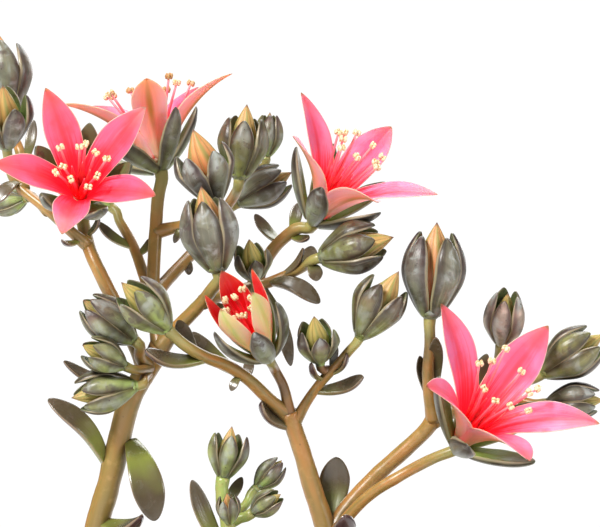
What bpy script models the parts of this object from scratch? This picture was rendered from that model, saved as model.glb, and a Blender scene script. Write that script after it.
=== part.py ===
"""Potted graptopetalum in bloom: pot, soil, five rosettes, three flower stalks, five blooms and their buds.

The model stands on z = 0 with the pot's axis on z, +Y away from the viewer, in metres.
The blooms and buds are laid out on the photograph: a place is written as its pixel there and its
depth in millimetres, and spot() turns it into metres with the real size of a pixel.
"""

import math
import random

import bmesh
import bpy
from mathutils import Vector

MM = 0.001
GAP = 0.3 * MM                      # air left between pieces that rest on each other
TO_VIEWER = Vector((0, -1, 0))
ROUTE_STEPS = 8                     # places read on each span of a stem's curve
COLLAR = 1.2 * MM                   # last stretch of a stem, in line with what it carries

# The photograph, 600 by 527 pixels, seen level from the front through a long lens
PIXEL = 0.2 * MM                    # one pixel's real size at the pot's axis
PHOTO_MIDDLE = (300.0, 263.5)
POT_AXIS_PX = 297.0
MIDDLE_HEIGHT = 172.7 * MM
CAMERA_DISTANCE = 1.0

# Pot
RIM_RADIUS = 65.0 * MM
RIM_DEPTH = 20.0 * MM
RIM_THICKNESS = 6.0 * MM
POT_HEIGHT = 85.0 * MM
FOOT_RADIUS = 46.0 * MM
NECK_RADIUS = 60.5 * MM
WALL = 5.0 * MM
FLOOR = 7.0 * MM
DRAIN_RADIUS = 7.0 * MM
ROUND_STEPS = 26                    # sides of the pot and of the soil in it

# Soil and rosettes
SOIL_TOP = 76.5 * MM
SOIL_CROWN = 1.5 * MM
SOCKET_DEPTH = 12.0 * MM
STALK_ROOM = math.radians(33)       # no leaf grows nearer than this to a stalk's side
NECK_STEM = 4.5 * MM                # radius of a rosette's short stem
LEAF_ROOT = SOIL_TOP + 5.5 * MM
GOLDEN_ANGLE = math.radians(137.508)

# Rosette name: centre x and y, reach, number of leaves, turn, and the stalk that it bears
ROSETTES = {
    "rosette_left": (-35, 4, 22.0, 17, 20, "stalk_left"),
    "rosette_right": (6, 3, 21.0, 16, 75, "stalk_right"),
    "rosette_front": (-12, -36, 19.0, 15, 205, "stalk_young"),
    "rosette_side": (40, -12, 15.5, 13, 10, None),
    "rosette_back": (15, 41, 15.5, 13, 130, None),
}
# Offsets that sit on the soil, each on a runner: centre x and y, reach, number of leaves, turn
OFFSETS = {
    "rosette_left": [(-44, -23, 9.5, 8, 40)],
    "rosette_side": [(43, 17, 11.0, 8, 80), (22, -40, 12.0, 9, 15)],
    "rosette_back": [(-16, 42, 11.5, 8, 0)],
}
OFFSET_STEM = 2.4 * MM
RUNNER = 1.3 * MM                   # radius of a runner

# Stalks: each branch is named after what it carries, with its radius at root and end in millimetres
STALKS = {
    "stalk_left": {
        "main": (2.6, 2.2, [(79, 664, 8), (84, 630, 8), (90, 585, 7), (97, 527, 5), (108, 487, 4),
                            (118, 445, 4), (128, 405, 3), (138, 384, 3), (150, 365, 2), (161, 348, 1)]),
        "flower_1": (1.5, 1.3, [(146, 370, 2), (133, 341, 0), (118, 309, -2), (101, 275, -2),
                                (89, 248, 0), (83, 222, 4)]),
        "bud_02": (1.05, 0.95, [(88, 246, 0), (67, 228, -1), (45, 208, 0), (24, 191, 2), (12, 176, 3)]),
        "bud_01": (1.1, 1.0, [(23, 190, 2), (24, 170, 7), (18, 146, 10)]),
        "bud_03": (1.0, 0.9, [(48, 211, 0), (37, 201, 5)]),
        "flower_2": (1.4, 1.25, [(160, 350, 1), (155, 320, 3), (153, 290, 4), (154, 260, 5), (156, 225, 6),
                                (158, 198, 6)]),
        "bud_04": (1.2, 1.0, [(156, 232, 6), (172, 228, 5), (190, 224, 2), (206, 218, -1)]),
        "bud_25": (1.3, 0.9, [(153, 300, 4), (144, 275, 8), (135, 250, 11), (127, 234, 13), (119, 220, 14)]),
        "bud_07": (1.3, 1.1, [(154, 295, 4), (170, 277, 8), (186, 260, 12), (203, 242, 17), (219, 222, 21)]),
        "bud_05": (1.1, 1.0, [(204, 241, 17), (222, 214, 15), (234, 196, 11)]),
        "bud_06": (0.9, 0.8, [(219, 221, 21), (240, 194, 27), (256, 173, 28)]),
        "bud_08": (1.5, 1.2, [(159, 350, 1), (174, 331, 0), (190, 315, -2), (204, 300, -4), (213, 288, -7)]),
        "bud_16": (1.25, 1.0, [(203, 302, -4), (222, 295, 0), (242, 289, 5), (262, 285, 7), (285, 276, 7),
                              (303, 267, 5)]),
        "bud_09": (1.0, 0.9, [(236, 291, 4), (248, 290, 2)]),
        "flower_3": (1.3, 1.2, [(254, 287, 7), (262, 268, 9), (275, 247, 10), (296, 229, 9)]),
        "bud_10": (1.2, 1.1, [(149, 367, 1), (140, 357, -3)]),
        "bud_12": (1.0, 0.9, [(150, 367, 1), (139, 370, -5)]),
        "bud_13": (1.0, 0.9, [(148, 372, 2), (144, 380, -4)]),
    },
    "stalk_right": {
        "main": (2.6, 1.7, [(356, 664, 8), (350, 630, 8), (339, 585, 7), (325, 527, 6), (313, 490, 5),
                            (303, 455, 4), (294, 428, 3), (289, 412, 2)]),
        "bud_11": (1.4, 1.1, [(291, 418, 3), (270, 400, 0), (249, 380, -3), (228, 366, -6), (205, 357, -9),
                              (186, 346, -12)]),
        "flower_5": (1.05, 0.95, [(290, 416, 2), (284, 388, 1), (275, 370, 0)]),
        "bud_15": (1.05, 0.9, [(294, 424, 3), (308, 400, 1), (322, 381, -1), (338, 364, -3), (350, 350, -5)]),
        "bud_14": (0.8, 0.8, [(333, 370, -2), (326, 370, -2)]),
        "fork": (1.75, 1.5, [(330, 545, 6), (342, 515, 7), (372, 480, 7), (405, 450, 6), (425, 431, 5),
                            (435, 417, 4)]),
        "bud_17": (1.3, 1.1, [(434, 420, 4), (430, 398, 2), (428, 372, 0), (430, 345, -2)]),
        "bud_18": (1.3, 1.0, [(432, 422, 4), (455, 411, 7), (475, 398, 9), (492, 380, 10), (498, 364, 10)]),
        "bud_19": (1.0, 1.0, [(480, 394, 9), (505, 388, 11), (525, 382, 10)]),
        "bud_20": (0.9, 0.9, [(500, 389, 11), (518, 399, 10), (532, 403, 9)]),
        "flower_4": (1.2, 1.1, [(328, 540, 6), (365, 499, 2), (400, 476, 0), (432, 459, 1)]),
    },
    "stalk_young": {
        "main": (2.2, 1.2, [(232, 664, -26), (232, 630, -27), (230, 585, -27), (228, 527, -26),
                            (223, 505, -24), (222, 492, -24)]),
        "bud_24": (1.1, 0.9, [(226, 524, -25), (240, 518, -26)]),
        "bud_22": (0.9, 0.8, [(229, 522, -26), (246, 504, -22)]),
        "bud_23": (0.9, 0.8, [(228, 532, -26), (229, 531, -29)]),
    },
}

# Bracts: root on the stem, tip, width in millimetres and, where it is unusual, the bow as a share of the
# length; their upper faces look up and to the viewer
BRACT_FACE = Vector((0, -0.7, 0.7))
BRACTS = {
    "stalk_left": [
        ((107, 462, 4), (48, 399, 0), 4.6, 0.15), ((131, 440, 3), (155, 521, -5), 6.6),
        ((99, 520, 5), (140, 516, -9), 5.0), ((135, 386, 3), (64, 361, -2), 3.0),
        ((134, 247, 11), (98, 222, 10), 2.4), ((137, 255, 10), (152, 238, 9), 2.0),
        ((186, 226, 3), (174, 243, 3), 1.6), ((188, 258, 12), (189, 275, 11), 1.8),
        ((25, 162, 7), (34, 120, 11), 2.2), ((80, 240, -1), (62, 240, -6), 1.8),
        ((85, 236, 1), (98, 217, -2), 1.6), ((270, 280, 7), (320, 303, 3), 4.0),
        ((262, 285, 7), (291, 366, 7), 3.0), ((17, 182, 2), (-4, 203, -2), 3.0),
        ((278, 277, 7), (303, 248, 2), 1.9), ((290, 235, 9.3), (309, 237, 6), 2.2),
        ((292, 232, 9.2), (298, 203, 12), 2.6), ((281, 242, 9.7), (255, 214, 14), 2.6),
        ((312, 264, 3), (317, 281, 0), 3.0), ((305, 266, 4), (312, 246, 8), 3.2),
    ],
    "stalk_right": [
        ((205, 358, -9), (146, 350, -16), 4.0), ((196, 352, -10), (178, 320, -7), 3.2),
        ((238, 372, -5), (192, 332, -1), 3.6), ((293, 426, 3), (262, 402, -1.5), 4.2),
        ((316, 390, 0), (363, 376, -3), 3.4), ((330, 373, -2), (346, 354, -6), 2.4),
        ((325, 378, -1), (312, 363, -6), 2.4), ((329, 545, 6), (344, 515, -8), 6.0),
        ((329, 524, 6), (337, 457, 8), 6.2), ((432, 404, 3), (436, 338, -6), 3.0),
        ((431, 402, 3), (420, 356, 0), 2.2), ((246, 378, -3), (250, 358, 2), 2.2),
        ((240, 376, -4), (231, 391, -6), 1.8), ((331, 372, -2), (335, 343, -3), 1.8),
    ],
    "stalk_young": [
        ((229, 560, -27), (192, 480, -25), 3.6), ((223, 504, -24), (242, 477, -19), 2.4),
    ],
}

# Buds: base, tip, turn of the first sepal from the viewer's side in degrees, the sepals' reach and
# splay as shares of the bud's length, and its girth; the full ones show their folded petals
BUDS = {
    "bud_01": ((5, 118, 9), (-6, 28, 10), 20, 0.82, 0.03, 1.05),
    "bud_02": ((7, 147, 0), (3, 85, -10), 30, 0.80, 0.08, 1.0),
    "bud_03": ((26, 198, 9), (-9, 207, 13), 10, 0.90, 0.02, 1.0),
    "bud_04": ((216, 203, -4), (193, 129, -8), 36, 0.68, 0.06, 1.19),
    "bud_05": ((239, 179, 7.5), (247, 104, 6), 0, 0.79, 0.03, 1.02),
    "bud_06": ((266, 157, 27), (270, 112, 26), 0, 0.92, 0.02, 1.0),
    "bud_07": ((237, 203, 22), (292, 172, 20), 36, 0.86, 0.03, 1.0),
    "bud_08": ((218, 272, -9), (201, 186, -13), -5, 0.84, 0.02, 1.04),
    "bud_09": ((255, 280, 0), (249, 239, -6), 12, 0.72, 0.06, 1.13),
    "bud_10": ((134, 341, -6), (83, 300, -10), 36, 0.93, 0.02, 1.0),
    "bud_11": ((168, 330, -14), (121, 282, -19), 15, 0.84, 0.08, 1.0),
    "bud_12": ((125, 366, -8), (82, 345, -13), 30, 0.88, 0.04, 1.0),
    "bud_13": ((136, 386, -6), (71, 398, -9), 25, 0.90, 0.06, 1.0),
    "bud_14": ((320, 362, -4), (314, 316, -11), 8, 0.74, 0.05, 1.1),
    "bud_15": ((360, 337, -6), (399, 271, -9), -28, 0.80, 0.06, 1.05),
    "bud_16": ((320, 258, 1), (394, 237, -3), -8, 0.80, 0.03, 1.05),
    "bud_17": ((430, 318, -3), (437, 222, -5), 42, 0.86, 0.02, 1.08),
    "bud_18": ((501, 345, 8), (508, 293, 2), -14, 0.97, 0.08, 1.0),
    "bud_19": ((542, 374, 8), (604, 334, 5), 36, 0.86, 0.05, 1.0),
    "bud_20": ((547, 403, 8), (604, 400, 6), 36, 0.90, 0.03, 1.0),
    "bud_21": ((223, 479, -24), (232, 426, -25), 5, 0.84, 0.13, 1.0),
    "bud_22": ((256, 488, -21), (282, 460, -20), 20, 0.93, 0.05, 1.0),
    "bud_23": ((230, 524, -31), (227, 493, -34), 36, 0.88, 0.03, 1.0),
    "bud_24": ((252, 513, -27), (281, 494, -30), -10, 0.92, 0.05, 1.0),
    "bud_25": ((112, 208, 15), (84, 184, 18), 0, 0.92, 0.02, 1.0),
}
FULL_BUDS = {"bud_01", "bud_02", "bud_04", "bud_05", "bud_08", "bud_15", "bud_16", "bud_17", "bud_19"}

# Blooms: foot of the petals; degrees turned right of the viewer, up, and rolled; angles from the axis at
# root and tip and the length in millimetres of the petals and of the sepals; lean and length of stamens
FLOWERS = {
    "flower_1": ((80, 197, 0), (3, 27, 31), (22, 67, 23.0), (50, 16, 16.3), (16, 13.5)),
    "flower_2": ((159, 162, 6), (-112, 79, 48), (27, 71, 22.7), (62, 42, 14.5), (28, 16.0)),
    "flower_3": ((318, 215, 6.4), (48, 49, 47), (22, 68, 24.2), (50, 31, 15.5), (15, 17.0)),
    "flower_4": ((462, 440, -1.2), (35, 39, 32), (22, 67, 27.9), (50, 35, 18.0), (17, 19.0)),
    "flower_5": ((264.5, 351, -6.2), (-30, 43, 87), (32, -6, 18.8), (50, 0, 14.6), (11, 12.5)),
}
# How far a calyx leans from its bloom's axis, to the right and up
CALYX_LEAN = {"flower_2": (-0.23, 0.0), "flower_4": (0.07, -0.09)}
RECEPTACLE = 1.6 * MM
PETAL_DISC = 1.0 * MM
PETAL_RING = 1.5 * MM
SEPAL_RING = 1.2 * MM
CARPEL = 9.5 * MM
# The five carpels stand close together as one body: radius and height
CARPEL_PROFILE = [(0.45 * MM, 0.4 * MM), (1.05 * MM, 4.0 * MM), (1.2 * MM, 7.5 * MM)]

# Outlines along a blade, root to tip: share of the length, then width, thickness and edge lift
SEPAL_STATIONS = [(0.0, 0.17, 0.08, 0.0), (0.35, 0.31, 0.10, 0.1), (0.7, 0.27, 0.08, 0.1)]
PETAL_STATIONS = [(0.0, 0.08, 0.04, 0.1), (0.22, 0.18, 0.036, 0.2), (0.5, 0.29, 0.03, 0.15),
                  (0.78, 0.27, 0.03, 0.1)]
LEAF_STATIONS = [(0.0, 0.17, 0.10, 0.0), (0.62, 0.60, 0.115, 0.14)]
BRACT_STATIONS = [(0.0, 0.45, 0.9, 0.0), (0.35, 0.88, 1.0, 0.12), (0.72, 1.0, 0.9, 0.08)]
MIN_BLADE = 0.7 * MM

# Closed petals of a bud: share of the bud's length, then radius as a share of that length
CONE_STATIONS = [(0.06, 0.045), (0.2, 0.10), (0.48, 0.185), (0.76, 0.12)]
# Sepals of a bud: height, inner distance outside the petals, width and thickness, as shares too
BUD_SEPAL = [(0.2, 0.01, 0.19, 0.075), (0.5, 0.02, 0.305, 0.085)]
BUD_SEPAL_ROOT = (0.025, 0.055, 0.08)
BUD_SEPAL_TIP = 0.055
SEPAL_LAYERS = (0.0, 0.022, 0.004, 0.026, 0.013)
PARTING = {"bud_17": 29.0}          # degrees by which a bud's two front sepals stand further apart

COLOURS = {
    "pot": ((0.52, 0.25, 0.15), 0.85),
    "soil": ((0.07, 0.045, 0.03), 0.95),
    "rosette": ((0.30, 0.33, 0.25), 0.6),
    "stalk": ((0.42, 0.27, 0.11), 0.5),
    "calyx": ((0.22, 0.22, 0.17), 0.55),
    "petals": ((0.80, 0.10, 0.22), 0.45),
    "centre": ((0.72, 0.04, 0.08), 0.4),
    "closed_petals": ((0.75, 0.42, 0.16), 0.5),
}


def clear_scene():
    for old in list(bpy.data.objects):
        bpy.data.objects.remove(old, do_unlink=True)


def new_collection(name):
    collection = bpy.data.collections.new(name)
    bpy.context.scene.collection.children.link(collection)
    return collection


def material(kind):
    """One Principled material for each kind of surface."""
    found = bpy.data.materials.get(kind)
    if found:
        return found
    colour, roughness = COLOURS[kind]
    made = bpy.data.materials.new(kind)
    made.use_nodes = True
    shader = made.node_tree.nodes["Principled BSDF"]
    shader.inputs["Base Color"].default_value = (*colour, 1.0)
    shader.inputs["Roughness"].default_value = roughness
    made.diffuse_color = (*colour, 1.0)
    return made


def add_object(name, mesh, collection):
    made = bpy.data.objects.new(name, mesh)
    collection.objects.link(made)
    return made


def spot(px, py, depth):
    """The point in metres behind pixel px, py of the photograph, at a depth in millimetres."""
    spread = 1.0 + depth * MM / CAMERA_DISTANCE
    middle_x = (PHOTO_MIDDLE[0] - POT_AXIS_PX) * PIXEL
    x = middle_x + (px - PHOTO_MIDDLE[0]) * PIXEL * spread
    z = MIDDLE_HEIGHT + (PHOTO_MIDDLE[1] - py) * PIXEL * spread
    return Vector((x, depth * MM, z))


def smooth_route(points, step):
    """Points about a step apart on the Catmull-Rom curve through the given ones."""
    ends = [2 * points[0] - points[1], *points, 2 * points[-1] - points[-2]]
    fine = [points[0]]
    for before, start, end, after in zip(ends, ends[1:], ends[2:], ends[3:]):
        for k in range(1, ROUTE_STEPS + 1):
            t = k / ROUTE_STEPS
            bend = (2 * before - 5 * start + 4 * end - after) * t * t
            twist = (3 * start - before - 3 * end + after) * t ** 3
            fine.append((2 * start + (end - before) * t + bend + twist) / 2)
    walked = [0.0]
    for start, end in zip(fine, fine[1:]):
        walked.append(walked[-1] + (end - start).length)
    count = max(2, round(walked[-1] / step))
    route = [fine[0]]
    place = 1
    for k in range(1, count):
        goal = walked[-1] * k / count
        while walked[place] < goal:
            place += 1
        share = (goal - walked[place - 1]) / (walked[place] - walked[place - 1])
        route.append(fine[place - 1].lerp(fine[place], share))
    return route + [fine[-1]]


def across(direction):
    """Two unit vectors square to a direction."""
    helper = Vector((0, 0, 1)) if abs(direction.z) < 0.9 else Vector((0, 1, 0))
    side = direction.cross(helper).normalized()
    return side, side.cross(direction).normalized()


def loft(name, rings, tip, collection):
    """A closed body through rings of points, with a flat start and a pointed or flat end."""
    mesh = bmesh.new()
    rows = [[mesh.verts.new(point) for point in ring] for ring in rings]
    sides = len(rows[0])
    mesh.faces.new(rows[0])
    for lower, upper in zip(rows, rows[1:]):
        for k in range(sides):
            after = (k + 1) % sides
            mesh.faces.new((lower[k], upper[k], upper[after], lower[after]))
    if tip is None:
        mesh.faces.new(reversed(rows[-1]))
    else:
        point = mesh.verts.new(tip)
        for k in range(sides):
            mesh.faces.new((rows[-1][k], point, rows[-1][(k + 1) % sides]))
    bmesh.ops.recalc_face_normals(mesh, faces=mesh.faces)
    bmesh.ops.triangulate(mesh, faces=mesh.faces)
    data = bpy.data.meshes.new(name)
    mesh.to_mesh(data)
    mesh.free()
    return add_object(name, data, collection)


def blade(name, spine, inner, side, sizes, collection, keeled=False):
    """A leaf, sepal or petal along a spine whose last point is its tip.

    inner holds the directions its upper face looks in; sizes the width, thickness and edge lift.
    A keeled blade has a flat upper face and a ridge below, the others have a ridge on both.
    """
    rings = []
    for centre, up, (width, thickness, lift) in zip(spine, inner, sizes):
        raised = up * (width * lift)
        left = centre - side * (width / 2) + raised
        right = centre + side * (width / 2) + raised
        if keeled:
            rings.append([left, right, centre - up * thickness])
        else:
            rings.append([left, centre + up * (0.4 * thickness), right, centre - up * (0.6 * thickness)])
    return loft(name, rings, spine[-1], collection)


def bent_blade(name, root, axis, outward, angles, length, stations, collection, keeled=True):
    """A blade that starts at an angle from the axis and bends evenly to another one."""
    side = axis.cross(outward).normalized()
    shares = [row[0] for row in stations] + [1.0]
    start, end = (math.radians(value) for value in angles)
    spine = [root]
    inner = []
    for share, after in zip(shares, shares[1:] + [1.0]):
        angle = start + (end - start) * share
        inner.append(outward * -math.cos(angle) + axis * math.sin(angle))
        middle = start + (end - start) * (share + after) / 2
        step = axis * math.cos(middle) + outward * math.sin(middle)
        spine.append(spine[-1] + step * ((after - share) * length))
    sizes = [(width * length, max(MIN_BLADE, thickness * length), lift)
             for _, width, thickness, lift in stations]
    return blade(name, spine[:len(shares)], inner, side, sizes, collection, keeled)


def tube(name, points, radii, collection):
    """A tapered stem: a bevelled curve with filled caps, as a mesh."""
    curve = bpy.data.curves.new(name, "CURVE")
    curve.dimensions = "3D"
    curve.bevel_depth = 1.0
    curve.bevel_resolution = 1
    curve.use_fill_caps = True
    spline = curve.splines.new("POLY")
    spline.points.add(len(points) - 1)
    for row, point, radius in zip(spline.points, points, radii):
        row.co = (*point, 1.0)
        row.radius = radius
    drawn = add_object(name + "_curve", curve, collection)
    bpy.context.view_layer.update()
    evaluated = drawn.evaluated_get(bpy.context.evaluated_depsgraph_get())
    mesh = bpy.data.meshes.new_from_object(evaluated)
    made = add_object(name, mesh, collection)
    made.matrix_world = drawn.matrix_world
    bpy.data.objects.remove(drawn, do_unlink=True)
    cage = bmesh.new()
    cage.from_mesh(mesh)
    bmesh.ops.remove_doubles(cage, verts=cage.verts, dist=0.00001)
    bmesh.ops.recalc_face_normals(cage, faces=cage.faces)
    cage.to_mesh(mesh)
    cage.free()
    return made


def join(name, first, collection, kind, target):
    """Unites a collection's objects with the first one and files it under its own name."""
    boolean = first.modifiers.new("union", "BOOLEAN")
    boolean.operation = "UNION"
    boolean.solver = "EXACT"
    boolean.operand_type = "COLLECTION"
    boolean.collection = collection
    bpy.context.view_layer.update()
    evaluated = first.evaluated_get(bpy.context.evaluated_depsgraph_get())
    mesh = bpy.data.meshes.new_from_object(evaluated)
    made = add_object(name, mesh, target)
    made.data.name = name
    made.data.materials.clear()
    made.data.materials.append(material(kind))
    bpy.data.objects.remove(first, do_unlink=True)
    for piece in list(collection.objects):
        bpy.data.objects.remove(piece, do_unlink=True)
    return made


def finish(made, kind, name):
    made.name = name
    made.data.name = name
    made.data.materials.clear()
    made.data.materials.append(material(kind))
    return made


def turned(name, profile, collection):
    """A turned piece from a profile of radius and height pairs, outer side down, then back up."""
    cage = bmesh.new()
    corners = [cage.verts.new((radius, 0, height)) for radius, height in profile]
    for start, end in zip(corners, corners[1:]):
        cage.edges.new((start, end))
    if profile[0][0] > 0 and profile[-1][0] > 0:
        cage.edges.new((corners[-1], corners[0]))
    data = bpy.data.meshes.new(name)
    cage.to_mesh(data)
    cage.free()
    made = add_object(name, data, collection)
    screw = made.modifiers.new("turn", "SCREW")
    screw.steps = ROUND_STEPS
    screw.render_steps = ROUND_STEPS
    screw.use_merge_vertices = True
    screw.merge_threshold = 0.00001
    return made


def pot_inner_radius(height):
    """Radius of the pot's inside wall at a height."""
    share = (height - FLOOR) / (POT_HEIGHT - FLOOR)
    low = FOOT_RADIUS - WALL
    high = RIM_RADIUS - RIM_THICKNESS
    return low + (high - low) * share


def make_pot(target):
    band = POT_HEIGHT - RIM_DEPTH
    profile = [
        (RIM_RADIUS - 4.0 * MM, POT_HEIGHT), (RIM_RADIUS - 0.9 * MM, POT_HEIGHT - 1.0 * MM),
        (RIM_RADIUS, POT_HEIGHT - 3.5 * MM), (RIM_RADIUS - 1.2 * MM, band),
        (NECK_RADIUS, band - 1.0 * MM), (FOOT_RADIUS, 1.5 * MM), (FOOT_RADIUS - 1.5 * MM, 0.0),
        (DRAIN_RADIUS, 0.0), (DRAIN_RADIUS, FLOOR), (FOOT_RADIUS - WALL, FLOOR),
        (pot_inner_radius(POT_HEIGHT - 1.5 * MM), POT_HEIGHT - 1.5 * MM),
    ]
    pot = turned("pot", profile, target)
    return finish(pot, "pot", "pot")


def make_soil(target, cutters):
    """The soil fills the pot to below its rim, with a plain hole for each rosette's stem."""
    low = FLOOR + GAP
    top = SOIL_TOP
    profile = [(0.0, top + SOIL_CROWN), (30.0 * MM, top + 0.6 * SOIL_CROWN),
               (pot_inner_radius(top) - GAP, top), (pot_inner_radius(low) - GAP, low), (0.0, low)]
    soil = turned("soil", profile, target)
    for name, (x, y, *_) in ROSETTES.items():
        bpy.ops.mesh.primitive_cylinder_add(
            vertices=10, radius=NECK_STEM + 2.1 * GAP, depth=40 * MM,
            location=(x * MM, y * MM, top - SOCKET_DEPTH - GAP + 20 * MM))
        hole = bpy.context.object
        hole.name = "hole_for_" + name
        for owner in list(hole.users_collection):
            owner.objects.unlink(hole)
        cutters.objects.link(hole)
        hole.hide_render = True
        hole.display_type = "WIRE"
    cut = soil.modifiers.new("holes", "BOOLEAN")
    cut.operand_type = "COLLECTION"
    cut.collection = cutters
    cut.solver = "EXACT"
    return finish(soil, "soil", "soil")


def short_stem(name, x, y, radius, low, collection):
    """The stem in a rosette's heart, swollen where its leaves root."""
    profile = [(radius, low), (radius, LEAF_ROOT - 2 * MM), (1.18 * radius, LEAF_ROOT),
               (0.75 * radius, LEAF_ROOT + 0.85 * radius)]
    up = Vector((0, 0, 1))
    return disc(name, Vector((x * MM, y * MM, 0)), up, profile, 9, collection)


def add_leaves(name, x, y, reach, leaves, turn, stem, free_angle, work, random_source):
    """Leaves in golden-angle order round a short stem, steep in the heart and flat outside."""
    up = Vector((0, 0, 1))
    for k in range(leaves):
        share = k / (leaves - 1)
        angle = math.radians(turn) + k * GOLDEN_ANGLE
        tilt = 84 - 74 * share ** 1.25
        if free_angle is not None and tilt < 80:
            apart = (angle - free_angle + math.pi) % math.tau - math.pi
            if abs(apart) < STALK_ROOM:
                continue
        outward = Vector((math.cos(angle), math.sin(angle), 0))
        length = reach * MM * (1.0 - 0.60 * share ** 1.3) * random_source.uniform(0.95, 1.03)
        height = LEAF_ROOT + 0.7 * stem * share + 0.25 * MM
        away = stem * (0.85 - 0.58 * share)
        root = Vector((x * MM, y * MM, height)) + outward * away
        bent_blade(name + "_leaf", root, up, outward, (tilt, tilt - 16), length, LEAF_STATIONS, work)


def make_rosette(name, row, target, work, random_source):
    """A rosette with the stub that its flower stalk grows from, and its offset on a runner."""
    x, y, reach, leaves, turn, stalk = row
    centre = Vector((x * MM, y * MM, 0.0))
    up = Vector((0, 0, 1))
    core = short_stem(name + "_stem", x, y, NECK_STEM, SOIL_TOP - SOCKET_DEPTH, target)
    free_angle = None
    if stalk:
        radius, _, marks = STALKS[stalk]["main"]
        foot = spot(*marks[0])
        climb = (spot(*marks[1]) - foot).normalized()
        away = Vector((foot.x - centre.x, foot.y - centre.y, 0))
        free_angle = math.atan2(away.y, away.x)
        start = centre + away * 0.35 + up * (LEAF_ROOT - 1 * MM)
        route = smooth_route([start, foot - climb * (GAP + 3 * MM)], 5 * MM) + [foot - climb * GAP]
        tube(name + "_stub", route, [radius * MM] * len(route), work)
    add_leaves(name, x, y, reach, leaves, turn, NECK_STEM, free_angle, work, random_source)
    low = SOIL_TOP + SOIL_CROWN + GAP
    for small_x, small_y, small_reach, small_leaves, small_turn in OFFSETS.get(name, []):
        short_stem(name + "_offset", small_x, small_y, OFFSET_STEM, low, work)
        add_leaves(name, small_x, small_y, small_reach, small_leaves, small_turn, OFFSET_STEM, None,
                   work, random_source)
        height = up * (low + RUNNER)
        end = Vector((small_x * MM, small_y * MM, 0))
        tube(name + "_runner", [centre + height, centre.lerp(end, 0.5) + height, end + height],
             [RUNNER] * 3, work)
    return join(name, core, work, "rosette", target)


def carried_base(carried):
    """Base point and axis of the bud or bloom that a branch carries."""
    if carried in BUDS:
        base, tip = (spot(*point) for point in BUDS[carried][:2])
        return base, (tip - base).normalized()
    axis, _, _ = flower_frame(carried)
    return flower_base(carried), axis


def make_stalk(name, target, work):
    """A grown stalk with all its branches and bracts, fused in one body."""
    first = None
    for carried, (start_radius, end_radius, marks) in STALKS[name].items():
        points = [spot(*mark) for mark in marks]
        ends = []
        starts = []
        if carried == "main":
            starts = [points[0]]
            points[0] = points[0] + (points[1] - points[0]).normalized() * COLLAR
        if carried in BUDS or carried in FLOWERS or name == "stalk_young":
            base, axis = carried_base("bud_21" if carried == "main" else carried)
            points.append(base - axis * (GAP + COLLAR))
            ends = [base - axis * GAP]
        step = 11 * MM if carried in ("main", "fork") else 9 * MM
        route = starts + smooth_route(points, step) + ends
        count = len(route) - 1
        radii = [(start_radius + (end_radius - start_radius) * k / count) * MM for k in range(count + 1)]
        made = tube(name + "_" + carried, route, radii, target if first is None else work)
        first = first or made
    for root_mark, tip_mark, width, *bowed in BRACTS[name]:
        make_bract(name + "_bract", spot(*root_mark), spot(*tip_mark), width * MM, bowed, work)
    return join(name, first, work, "stalk", target)


def make_bract(name, root, tip, width, bowed, work):
    """A fleshy stem leaf, its root sunk in its stem; bowed may hold its bow as a share of its length."""
    along = tip - root
    length = along.length
    along.normalize()
    face = (BRACT_FACE - along * BRACT_FACE.dot(along)).normalized()
    side = along.cross(face).normalized()
    bow = length * (bowed[0] if bowed else -0.12 if along.z > -0.3 else 0.16)
    thickness = max(MIN_BLADE, min(0.42 * width, 1.8 * MM))
    spine = []
    inner = []
    sizes = []
    for share, wide, thick, lift in BRACT_STATIONS:
        spine.append(root + along * (length * share) + face * (bow * math.sin(math.pi * share)))
        slope = bow * math.pi * math.cos(math.pi * share) / length
        inner.append((face - along * slope).normalized())
        sizes.append((wide * width, thick * thickness, lift))
    return blade(name, spine + [tip], inner, side, sizes, work, keeled=True)


def flower_frame(name):
    """Axis of a bloom, and the two directions that its parts turn round it by."""
    azimuth, height, turn = (math.radians(value) for value in FLOWERS[name][1])
    axis = Vector((math.sin(azimuth) * math.cos(height), -math.cos(azimuth) * math.cos(height),
                   math.sin(height)))
    side = Vector((math.cos(azimuth), math.sin(azimuth), 0))
    over = side.cross(axis)
    return axis, side * math.cos(turn) + over * math.sin(turn), over * math.cos(turn) - side * math.sin(turn)


def flower_base(name):
    """Where the stalk meets a bloom: a calyx's height below the foot of its petals."""
    axis, _, _ = flower_frame(name)
    return spot(*FLOWERS[name][0]) - axis * (RECEPTACLE + GAP)


def disc(name, base, axis, profile, sides, collection):
    """A short turned body along an axis, from radius and height pairs."""
    first, second = across(axis)
    rings = []
    for radius, height in profile:
        rings.append([base + axis * height + first * (radius * math.cos(a)) + second * (radius * math.sin(a))
                      for a in (math.tau * k / sides for k in range(sides))])
    return loft(name, rings, None, collection)


def calyx_axis(name):
    """The sepals' own axis, which follows the pedicel more than the petals' does."""
    axis, _, _ = flower_frame(name)
    right, rise = CALYX_LEAN.get(name, (0.0, 0.0))
    return (axis + Vector((right, 0.0, rise))).normalized()


def spread(name, count, offset):
    """Directions round a bloom's axis, with an offset in turns."""
    _, first, second = flower_frame(name)
    for k in range(count):
        angle = math.tau * (k + offset) / count
        yield first * math.cos(angle) + second * math.sin(angle)


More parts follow.
